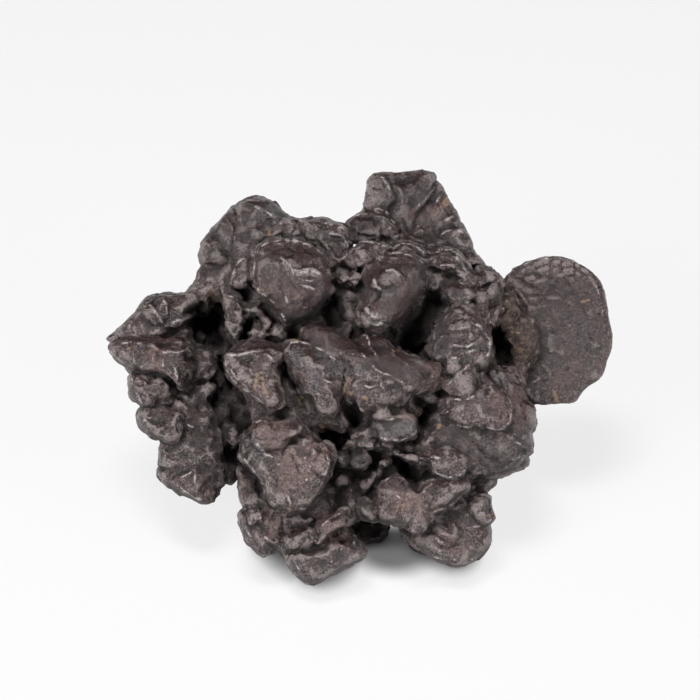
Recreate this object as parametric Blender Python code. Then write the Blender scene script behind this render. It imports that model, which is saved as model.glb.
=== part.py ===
"""A limonite concretion: one dark, heavy stone of knobs grown into each other, with a thin disc on its right.

The stone stands on z = 0 with X to its right, Y to its back and Z up. Its origin is under the middle of its
box. Its knobs are described as they are seen from the front, looking down at it: each place is (right, up),
in millimetres on a plane through the stone's middle that faces the eye, and a third number says how far it
stands out from that plane towards the eye.
"""

import math
import random
from collections import namedtuple

import bmesh
import bpy
from mathutils import Matrix, Vector, noise

MM = 0.001
LOOK_DOWN = math.radians(30)
EYE_DISTANCE = 450.0
MIDDLE_HEIGHT = 29.0  # how high the middle of the seen plane is above the ground
BOX_MIDDLE = (1.92, 1.83)  # x and y of the box's middle, measured from the middle of the seen plane

RING_POINTS = 40
RINGS = 7
SQUARENESS = 0.8  # 1 is a round profile, less is boxier
LEAN = 0.25  # how far a knob's outline leans back at its top, for each millimetre up
SWELL = 1.0  # the outlines as seen, made this much larger
DOME = 0.55  # how much of what a knob stands out by is dome, and the rest is its side wall
TOP_WAY = Vector((0, 0.87, 0.5))  # straight up, as (right, up, near)
TOP_CUT = (0.70, 0.88)  # the least and most that is left of a knob towards its flattened top
FACETS = 9
FACET_DEPTHS = (0.72, 0.96)
VOXEL = 0.8
TRIANGLES = 9000

# The surface: dimples that meet in ridges, bent a little by noise, and broad bumps on the hidden sides.
DIMPLE_WAVE = 4.6
DIMPLE_DEPTH = 0.8
MEAN_DIMPLE = 0.4
BEND_WAVE = 6.0
BEND = 0.35
HIDDEN_WAVE = 9.0
HIDDEN_HEIGHT = 3.5
MEAN_BUMP = 0.23

# The disc is smoother than the rest: its middle, its radii across and up, and how much of the dimples it has.
DISC_PLACE = (35, 3)
DISC_RADII = (7.4, 12.6)
DISC_ROUGHNESS = 0.12

DARK_BROWN = (0.055, 0.045, 0.043, 1)
ROUGHNESS = 0.42

Knob = namedtuple("Knob", "name near front back outline")

LEFT_WING = (
    Knob("wing_top", -1, 5, 9, (
        (-38.8, 1.6), (-37.4, 3.1), (-35.6, 5.2), (-34, 7), (-33, 8.2), (-31, 9), (-28, 9.2), (-25.9, 9),
        (-24.5, 8.4), (-24.3, 6.6), (-25.4, 5), (-28, 3.4), (-31, 2.2), (-35, 1.6))),
    Knob("wing_top_crest", 1, 4, 6, (
        (-33.6, 7), (-32.4, 7.8), (-30.8, 8.4), (-29.4, 7.9), (-29, 5.8), (-29.6, 4), (-31.6, 4),
        (-33, 5))),
    Knob("wing_ledge", 2, 7, 9, (
        (-38.8, 0.8), (-36.6, 1.8), (-33, 1.9), (-29.6, 2), (-26.4, 2), (-25, 0.6), (-24.8, -2),
        (-25.4, -4.8), (-27, -6.2), (-28.8, -4.6), (-30.6, -3.8), (-33.4, -3.6), (-35.4, -3),
        (-37.2, -1.4))),
    Knob("wing_knob", 2, 7, 8, (
        (-35.8, -4.2), (-34.8, -3.4), (-32.4, -3.5), (-30.2, -3.8), (-29, -5), (-28.7, -7), (-29.3, -8.7),
        (-31.4, -9.2), (-33.5, -8.9), (-35, -7.8), (-35.8, -6))),
    Knob("wing_low_knob", 2, 7, 8, (
        (-34.3, -10.3), (-33.4, -9.2), (-31, -8.8), (-28.4, -8.8), (-26.8, -10), (-26.2, -12.4),
        (-27, -14.4),
        (-28.8, -15.2), (-30.6, -14.6), (-32.6, -13.6), (-33.8, -12.2))),
    Knob("wing_step", 1, 5, 7, (
        (-28.8, -7), (-27, -6.6), (-25.2, -7.6), (-24.4, -9.4), (-24.6, -12), (-26.2, -12.9), (-27.4, -11),
        (-28.6, -9.4))),
    Knob("wing_root", 1, 6, 8, (
        (-30.8, -15.6), (-29.4, -14.6), (-27.2, -14.9), (-26.2, -16.4), (-26.6, -18.4), (-28.4, -19.6),
        (-30.2, -18.8), (-30.6, -17.2))),
    Knob("wing_root_inside", 1, 6, 8, (
        (-26.6, -13.4), (-24.4, -12.8), (-22, -13.4), (-20.6, -15), (-20.2, -17.6), (-21.6, -19.2),
        (-24, -18.8), (-26, -17.6), (-26.6, -15.6))),
    Knob("wing_toe", 0, 5, 7, (
        (-30.7, -19.6), (-29.8, -18.2), (-28.2, -18.6), (-27.6, -20.4), (-28.4, -22), (-30, -21.2))),
    Knob("wing_foot", 2, 6, 8, (
        (-28.9, -21), (-28, -19.6), (-26.2, -18.8), (-24.6, -18), (-22.8, -18.3), (-21, -19.6),
        (-20, -21.4),
        (-21, -23), (-22.6, -24.5), (-25.3, -23.9), (-27.6, -22.8))),
    Knob("wing_inner_knob", 0, 5, 7, (
        (-25.4, -0.6), (-23.4, -0.4), (-21.8, -1.4), (-21.6, -3.4), (-22.4, -4.8), (-24.4, -5),
        (-25.6, -3.4))),
    Knob("crevice_knob", -1, 5, 7, (
        (-25.2, -4.6), (-23, -4.2), (-21.4, -5), (-21.4, -6.8), (-23.2, -7.8), (-25, -7.4))),
    Knob("crevice_deep_knob", -4, 5, 7, (
        (-22.8, -8.6), (-20.5, -7.8), (-18.7, -9.5), (-19.2, -12.4), (-21.5, -13.2), (-23.2, -12))),
    Knob("crevice_egg", -1, 4, 6, (
        (-19.9, -12.4), (-18.8, -11.4), (-17.8, -12.2), (-17.6, -14.2), (-18.2, -15.8), (-19.2, -16),
        (-19.9, -14.4))),
    Knob("crevice_low_egg", -3, 4, 6, (
        (-20.2, -18.8), (-19.2, -17.8), (-18.2, -18.8), (-18, -20.6), (-19.2, -21.6), (-20.2, -20.6))),
    Knob("crevice_floor", -9, 4, 7, (
        (-26, 2.6), (-24.6, 3.6), (-22, 3.9), (-19.8, 3.4), (-19.2, 1.8), (-20.8, 0.6), (-23.6, 0.8))),
    Knob("wing_neck", -4, 5, 7, (
        (-25.2, 8.9), (-23.6, 9.8), (-22.2, 9.4), (-22, 7.6), (-22.8, 6), (-24.4, 6))),
)

CROWN = (
    Knob("crown_cap", -9, 8, 10, (
        (-20.6, 20), (-20, 21.4), (-18.4, 22.9), (-16.2, 24.2), (-13.8, 24.3), (-11.8, 23.4), (-10.2, 22),
        (-8.7, 20.7), (-10.5, 20.2), (-13, 19.4), (-16, 18.8), (-18.8, 18.6))),
    Knob("crown_cheek", -7, 7, 10, (
        (-22.4, 19), (-21, 20.9), (-19.4, 21.8), (-18.2, 20.8), (-17.2, 18.6), (-17.4, 16.2), (-19, 15.2),
        (-21, 16.6))),
    Knob("crown_side", -5, 6, 10, (
        (-24.2, 14.4), (-24.1, 16.4), (-23.3, 18.2), (-21.6, 19.2), (-20, 18), (-19.2, 15.6), (-19.4, 13.4),
        (-21, 12.4), (-23, 12.6))),
    Knob("crown_side_bump", -2, 4, 6, (
        (-22.8, 15), (-21.8, 16.4), (-20.4, 16.2), (-19.5, 15.2), (-19.8, 14), (-21.2, 13.5), (-22.6, 14))),
    Knob("crown_low", -6, 6, 9, (
        (-24.1, 13.4), (-21.5, 13.2), (-19.5, 12.6), (-19.2, 10.8), (-21, 9.4), (-23.5, 8.6), (-26, 8.8),
        (-25, 11))),
    Knob("crown_nick", -3, 4, 8, (
        (-19, 17.4), (-17.6, 18.2), (-15.6, 17.6), (-14.8, 16.2), (-16.2, 15), (-18.4, 15.2))),
    Knob("crown_left_pebble", -3, 4, 8, (
        (-16, 19.6), (-14.8, 20.2), (-13.6, 19.4), (-13.6, 17.8), (-15, 17.2), (-16.2, 18.2))),
    Knob("crown_right_pebble", -2, 4, 8, (
        (-12.9, 19.2), (-11.8, 19.9), (-10.6, 19.4), (-10.5, 18), (-11.8, 17.3), (-12.9, 17.9))),
    Knob("crown_step", -5, 5, 8, (
        (-12.4, 20.2), (-11.6, 21.1), (-9.4, 21.2), (-7.4, 20.7), (-6, 20), (-7.6, 19.2), (-10, 19.6))),
    Knob("crown_saddle", -4, 5, 9, (
        (-10.4, 19.6), (-8, 19.8), (-6.6, 18.6), (-7, 17), (-9.4, 17), (-10.8, 18))),
    Knob("crown_bridge", -6, 9, 10, (
        (-8.4, 20.4), (-6.4, 21.2), (-4, 21.2), (-2, 20.5), (-0.4, 19.6), (-0.6, 17.4), (-3, 16.4),
        (-6, 16.4), (-7.6, 18))),
    Knob("crown_shell", -2, 7, 10, (
        (-5.4, 17), (-3.8, 18.6), (-1.8, 18.4), (-0.2, 17), (0.2, 15), (-0.8, 13.4), (-2.8, 12.8),
        (-4.6, 14))),
    Knob("brow_cheek", 1, 5, 9, (
        (-19.2, 11.4), (-18.6, 13.4), (-17.2, 14.7), (-15.6, 14.6), (-14.8, 12.6), (-15.4, 10.4),
        (-17.2, 9.8), (-18.8, 10.2))),
    Knob("pocket_pillar", 2, 5, 12, (
        (-20.7, 9.6), (-19.4, 10.2), (-17.8, 8.8), (-17.2, 6), (-17.2, 2.6), (-18.4, 0.8), (-19.6, 2.5),
        (-19.9, 6))),
    Knob("pocket_lintel", 2, 4, 9, (
        (-17.8, 7), (-16.6, 7.7), (-14.8, 7.4), (-13.4, 6.4), (-14.6, 5.2), (-16.8, 5))),
    Knob("pocket_roof", 0, 4, 9, (
        (-16, 9.6), (-13.6, 9.8), (-11.4, 8), (-10.6, 6), (-12.2, 6), (-14.4, 7.4))),
    Knob("left_crystal", 3, 4, 8, (
        (-14.3, 4.4), (-13.9, 5.7), (-12.6, 5.6), (-12.1, 4.6), (-12.7, 3.3), (-13.9, 3.1))),
    Knob("right_crystal", 4, 4, 9, (
        (-12.6, 2.6), (-11.6, 4.2), (-10.4, 4.7), (-9.7, 3.8), (-9.9, 2.2), (-10.8, 1.5), (-12, 1.9))),
    Knob("low_crystal", 4, 3, 8, (
        (-16.5, 2.4), (-15.9, 3.6), (-14.4, 3.6), (-13.2, 3.1), (-12.6, 2.3), (-13.8, 1.8), (-15.2, 2))),
    Knob("brow_boulder", 4, 8, 12, (
        (-15.5, 12.2), (-15.1, 14.8), (-14.3, 16.6), (-12.8, 17.4), (-10.4, 17.7), (-8, 17.4), (-5.8, 16.4),
        (-4, 15), (-2.9, 13), (-2.6, 10.6), (-3.4, 8), (-5.2, 6), (-7.4, 4.8), (-9.6, 4.2), (-10.9, 5),
        (-12.2, 7.4), (-14, 9), (-15.2, 10.4))),
)

BACK_PEAK = (
    Knob("peak_block", -15, 5, 8, (
        (1.4, 20), (2.4, 23.4), (2.8, 26), (3.2, 27.7), (4.8, 28.1), (8, 28.5), (11, 28.7), (12.9, 28.5),
        (13.5, 27.8), (13.2, 26.4), (12.4, 24.6), (11, 22), (10, 19), (8, 16), (2, 16))),
    Knob("peak_lit_side", -11, 3, 7, (
        (2.3, 22.8), (2.7, 25.2), (3.4, 27), (4.8, 27.4), (6.2, 26.2), (7.2, 24.4), (6.2, 22.8),
        (4, 22.4))),
    Knob("peak_slope", -16, 5, 8, (
        (13.2, 26.6), (14, 26.6), (15, 25.4), (15.8, 24), (16.2, 23), (17, 21.8), (18.2, 19.4),
        (19.6, 16.4), (21, 14), (21.8, 12.8), (18, 11), (12, 12), (9.5, 17), (10, 21), (12, 24))),
    Knob("peak_saddle", -9, 5, 9, (
        (-0.7, 19.9), (0.6, 21.4), (2.4, 22), (4, 21.8), (4.9, 20), (5.2, 18), (3.4, 17.2), (0.8, 17.4))),
    Knob("peak_arch", -10, 5, 9, (
        (3.3, 21.8), (4.2, 22.6), (5.6, 22.3), (6.8, 21), (7.9, 19.4), (7.2, 17.8), (5.4, 17.6),
        (4.2, 19.6))),
    Knob("peak_pebble", -9, 4, 8, (
        (9.9, 18), (10.1, 19.3), (10.9, 20), (11.7, 19.2), (12.2, 17.9), (11.1, 17.1))),
    Knob("far_ledge", -12, 4, 8, (
        (13.8, 17.6), (15.6, 19.2), (17.4, 19.6), (18.8, 18.6), (19.8, 16.8), (19, 15.4), (16, 16))),
    Knob("far_low_ledge", -11, 4, 8, (
        (17.8, 15), (19.6, 15.6), (21.3, 14.4), (21.6, 13.4), (20, 13), (18.2, 13.4))),
    Knob("peak_apron", -9, 7, 9, (
        (6.5, 18.5), (9, 18.2), (12.6, 18.4), (16, 17), (18.4, 15.2), (18, 12), (12, 12), (7, 14))),
)

CENTRE = (
    Knob("knob", 4, 9, 13, (
        (1.2, 4), (1.2, 5.8), (2.1, 7.6), (2.5, 9.4), (2.3, 11), (2.4, 12.8), (3.6, 14), (5.6, 15),
        (8, 15.4), (10, 15), (11.6, 14), (12.3, 12.4), (12.3, 10.4), (11.2, 8.7), (10, 7.2), (9, 5.6),
        (7.6, 4), (6, 3), (4, 2.6), (2.2, 3))),
    Knob("knob_boss", 10, 3.4, 6, (
        (4.4, 11.6), (5.2, 12.8), (6.6, 13.3), (7.9, 12.6), (8.4, 11.4), (8.2, 10.4), (6.6, 10.1),
        (5.1, 9.7), (4.5, 10.5))),
    Knob("knob_lip", 9.5, 3.5, 6, (
        (1.5, 4.6), (2, 6.3), (2.8, 7), (4, 6.7), (5.4, 6.2), (6, 4.8), (4.8, 3.7), (3, 3.3))),
    Knob("knob_collar", 1, 6, 9, (
        (-0.6, 14.2), (0, 16), (1.6, 17.2), (4, 17.1), (6.2, 16.4), (6.2, 15.2), (4.6, 14.2),
        (2.6, 13.2), (0.8, 12.8))),
    Knob("knob_back", -2, 6, 9, (
        (6, 15.6), (7.6, 16.9), (9.6, 16.9), (11.2, 16), (12.8, 14.8), (12.6, 12.6), (10, 13), (7, 14))),
    Knob("knob_left_dome", 3, 4, 9, (
        (-2.4, 11.6), (-1.8, 12.7), (-0.6, 12.7), (0.2, 11.6), (-0.3, 10.3), (-1.7, 10.3))),
    Knob("knob_near_dome", 3, 4, 9, (
        (0.1, 11.8), (0.9, 12.7), (1.9, 11.9), (2, 10.8), (1.1, 10.1), (0.2, 10.5))),
    Knob("knob_left_column", 1, 4, 9, (
        (-1.9, 10.4), (1.6, 10.4), (1.8, 8.4), (0.7, 7.4), (-1, 7.8), (-2, 9))),
    Knob("pocket_wall", -1, 4, 9, (
        (-0.8, 7.6), (0.8, 8), (2, 6.5), (1.4, 4.2), (0.8, 2.8), (-0.2, 4), (-0.9, 5.8))),
    Knob("pocket_bead", 6, 3, 7, (
        (-1.2, 3), (-0.8, 4), (0.1, 4.1), (0.8, 3.2), (0.6, 2.1), (-0.4, 1.8), (-1.1, 2.2))),
    Knob("ledge", 8, 9, 14, (
        (-8.2, 2.2), (-7.4, 3.8), (-4.6, 3.9), (-1.6, 2.4), (0.8, 1.4), (1.8, 2.4), (3.6, 2.3), (5.6, 1.6),
        (7.8, -0.2), (10, -0.9), (12.4, -1.7), (14.4, -2.6), (14.7, -5), (13, -6.6), (10.4, -7.1),
        (8.8, -8.1), (6.8, -9.4), (4.6, -9.9), (2.4, -9.8), (0.4, -8.6), (-1, -7.4), (-2, -4.4),
        (-4.4, -1), (-6.6, 0.4))),
    Knob("ledge_front_left", 12.5, 4.6, 8, (
        (0, -2.6), (1.4, -1.4), (3.2, -1.6), (4.9, -3.2), (5.3, -5.2), (4.5, -6.1), (2.6, -6), (1, -5),
        (0.2, -3.9))),
    Knob("ledge_front_right", 12, 4.6, 8, (
        (5.4, -4.4), (6.4, -3.6), (8, -4.8), (10.4, -5.9), (10.9, -6.4), (8.4, -6.7), (6.2, -6.4))),
    Knob("grey_tooth", 10, 8, 14, (
        (-10.7, -0.6), (-10, 0.9), (-8.6, 1.7), (-7, 1.4), (-5, 0.4), (-3.4, -0.7), (-1.6, -2.1),
        (-0.6, -3), (-1, -4.6), (-1.4, -6.6), (-1.6, -9), (-2.4, -10.6), (-4, -11), (-5.5, -9.9),
        (-6.6, -7.6), (-8, -5.4), (-9.6, -3.4))),
    Knob("left_tooth", 9, 8, 13, (
        (-20.3, -1.3), (-19.5, -0.2), (-17.8, 1), (-15.8, 2), (-13.6, 1.8), (-11.6, 0.7), (-10.8, -0.6),
        (-10.9, -2.4), (-10.9, -4.6), (-10.6, -7), (-11, -9.4), (-12.6, -10), (-14.4, -8.8),
        (-16, -7.4), (-17.6, -6.3), (-18.9, -4.9), (-19.9, -3.3))),
    Knob("centre_nut", 9, 7, 10, (
        (3.6, -10.6), (4.4, -9.4), (6, -9), (8.4, -9.2), (10.2, -10.2), (11, -11.8), (10.4, -13.4),
        (8.8, -14.3), (7, -14.9), (5.2, -14.9), (4, -13.8), (3.5, -12.2))),
    Knob("centre_nut_cap", 14, 2.6, 6, (
        (3.9, -10.4), (4.4, -9.5), (5.8, -9.2), (6.8, -9.6), (6.9, -10.6), (5.6, -11.3), (4.2, -11.3))),
    Knob("centre_wedge", 7, 6, 8, (
        (0.4, -14.2), (1.4, -12), (2.8, -10.6), (3.8, -11.6), (4.2, -14.2), (2.6, -15))),
    Knob("centre_web", 8, 5, 8, (
        (-1.6, -15.6), (0.6, -14.6), (3.4, -14.2), (5, -15), (6.8, -15.1), (6.6, -16), (4, -16),
        (1, -15.9), (-1, -16.2))),
    Knob("web_slope", 4, 6, 8, (
        (0, -15.6), (0.6, -13.8), (4, -14.2), (7.4, -14.2), (10.6, -13.6), (12.4, -15),
        (12.8, -17.4), (10.6, -18),
        (8, -17.3), (5, -16.8), (2, -16.4))),
    Knob("centre_low_nut", 8, 7, 11, (
        (6.4, -16.2), (8.4, -16.4), (10.4, -16.6), (12, -15.7), (13.8, -15), (16, -15.2), (17.8, -16),
        (19, -17.4), (19, -19), (18, -20.3), (16.4, -20.8), (14.4, -20.3), (12.5, -19), (10.5, -18),
        (8.2, -17.3))),
    Knob("low_nut_horn", 7, 6, 9, (
        (11.7, -14), (12.2, -12.8), (13.3, -13.2), (13.7, -14.8), (12.8, -16), (11.6, -15.4))),
    Knob("low_nut_shoulder", 5, 7, 9, (
        (15.8, -14), (17.4, -13.4), (19, -14.4), (19.7, -16.4), (19.2, -18), (17.6, -16.6), (16, -15.4))),
    Knob("crack_bead", 6, 3, 7, (
        (13.3, -12.2), (13.8, -11.4), (14.6, -11.5), (14.9, -12.3), (14.2, -13), (13.5, -12.9))),
)

RIGHT_SIDE = (
    Knob("shoulder_fold", -1, 6, 9, (
        (11.8, 13.2), (12.4, 15.2), (14.4, 15.9), (16.4, 15.8), (17.8, 14.9), (18.6, 13), (20.4, 11),
        (19.6, 9.8), (17.4, 11.2), (15, 12.8))),
    Knob("shoulder_low", 3, 5, 9, (
        (15, 8.2), (15.4, 10.3), (17.2, 10.9), (19.2, 10), (19.8, 8.6), (18.6, 7.6), (16.4, 7.4))),
    Knob("shoulder_scrap", 0, 5, 9, (
        (12.4, 9.6), (12.8, 11.4), (14, 11.8), (15, 10.6), (14.8, 9), (13.4, 8.4))),
    Knob("shoulder_far", -5, 7, 9, (
        (19.6, 11.6), (20.2, 12.8), (21.8, 13.4), (23.2, 12.8), (24.5, 11.7), (25, 10.4), (23.6, 9.4),
        (21.4, 9.8))),
    Knob("shoulder_egg", 1, 3.4, 8, (
        (22.1, 9.2), (22.5, 10.3), (23.4, 10.5), (23.8, 9.4), (23.3, 8.3), (22.4, 8.4))),
    Knob("shoulder_strip", 1, 4, 9, (
        (19.8, 7.8), (20, 9.8), (21.4, 10.2), (21.8, 8.2), (22.3, 6.4), (22.6, 4.4), (21.9, 4),
        (21.2, 5.8), (20.4, 7))),
    Knob("far_strip", -1, 4, 8, (
        (22.2, 8), (23.2, 8.2), (24, 6.8), (23.8, 4.4), (23, 3.8), (22.4, 5))),
    Knob("ribbed_boulder", 4, 8, 12, (
        (13.6, 3.8), (15.2, 5.8), (17.2, 7.3), (19.6, 7.4), (20.8, 6.2), (21.4, 4.6), (22.2, 2.6),
        (22.8, 0.6), (22.7, -1.4), (21.4, -2.7), (19.4, -2.9), (17.4, -3.2), (15.6, -2.8), (13.4, -1.6),
        (12.2, 0), (12.8, 2))),
    Knob("ribbed_foot", 9, 3.6, 8, (
        (15.2, -2.2), (15.9, -0.8), (17.4, -0.9), (18.2, -2.2), (17.7, -3.4), (16.1, -4))),
    Knob("rimmed_boulder", 6, 8, 13, (
        (14, -10), (15, -9), (15.6, -6.8), (17.2, -4.6), (19.8, -3.4), (21.6, -3.7), (23, -5.3),
        (24.6, -6.6), (25.6, -8), (26, -10), (25.6, -11.9), (24, -13), (21.6, -12.7), (18.6, -12.5),
        (16.6, -11.7), (15, -10.9))),
    Knob("rimmed_brow", 10, 4.6, 8, (
        (15.2, -5.8), (16.6, -4.1), (18, -3), (19, -2), (20, -2.8), (20.5, -4.6), (20.3, -6.6),
        (19.5, -7.7), (18, -7.9), (16.2, -7.3))),
    Knob("ledge_bridge", 7, 5, 9, (
        (12.8, -2), (14, -2.2), (15.4, -3), (15.8, -5), (14.6, -6.4), (13, -6))),
    Knob("flank_shoulder", 3, 5, 9, (
        (20.9, -3.3), (22.6, -2.9), (24.7, -3.2), (25.4, -4.6), (24.2, -5.8), (22.6, -5))),
    Knob("flank_chip", 0, 4, 8, (
        (25.3, -3.4), (26.9, -3), (27.8, -4.4), (27.8, -5.8), (25.8, -5.6))),
    Knob("flank_top", 1, 7, 10, (
        (24, -6), (25, -5.2), (27.4, -5.6), (28.3, -8), (29.5, -9.6), (30, -11.4), (29.4, -13.2),
        (27.8, -12.8), (26, -11.6), (26, -9), (25, -7.2))),
    Knob("flank_middle", 2, 8, 10, (
        (20.2, -13.2), (22.4, -12.8), (24.6, -12.8), (26.6, -12), (28.6, -12.6), (29.4, -14),
        (29.4, -15.6), (28.9, -16.8), (26.6, -17.3), (24, -18), (21.8, -17.2), (20.2, -15.4))),
    Knob("flank_low", 1, 7, 10, (
        (19.6, -17), (22, -16.8), (24, -17.8), (26.4, -17.2), (28.4, -17), (28.7, -18.2), (27.4, -19.2),
        (25.4, -20), (23.4, -20.6), (21.2, -20.9), (19.4, -20.6), (19, -18.6))),
    Knob("flank_bead", 7, 3, 8, (
        (19.2, -13.2), (19.8, -12.6), (20.7, -12.9), (20.7, -14), (19.8, -14.2))),
)

DISC = (
    Knob("disc", -9, 3.2, 3.6, (
        (24.8, 11.2), (26, 12.6), (27.5, 13.6), (29.5, 14.4), (31.7, 15), (33.7, 14.9), (36, 14.1),
        (38, 13.1), (39.5, 11.8), (40.6, 10), (41.1, 7.5), (41.6, 4.5), (42, 2), (41.8, -0.4), (41.1, -2),
        (40.7, -3.7), (39.6, -5), (38, -5.9), (36.8, -7.4), (36, -8.4), (34, -8.6), (31.2, -8.9),
        (28.8, -8.2), (27, -6), (26, 0), (25, 6))),
    Knob("disc_root", -6, 4, 8, (
        (24.3, 9.4), (25.8, 8.8), (27.4, 6.4), (29.4, 4.6), (30.4, 2.4), (30.2, -0.4), (28.6, -2.8),
        (27.6, -5.4), (26, -3.6), (25.4, 0), (25, 4), (24.2, 7))),
)
# Earthy pebbles stuck between the disc and the stone: their places, how far they stand out, and their radii.
EARTHY_PEBBLES = (
    (25.3, 8, -2, 1), (26.2, 6, -2.4, 1.2), (25.2, 4.6, -2, 1.1), (27.4, 4.4, -3, 1), (26.2, 2.8, -2.2, 1),
    (28.4, 2.8, -3.6, 1.1), (25.6, 1.4, -2.4, 1), (27.2, 0.8, -3, 1.2), (29.4, 0.8, -4, 0.9),
    (26.4, -0.8, -2.6, 1), (28.2, -1.4, -3.4, 1), (27, -3, -2.6, 1.1), (29, 4.4, -4, 0.8))

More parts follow.
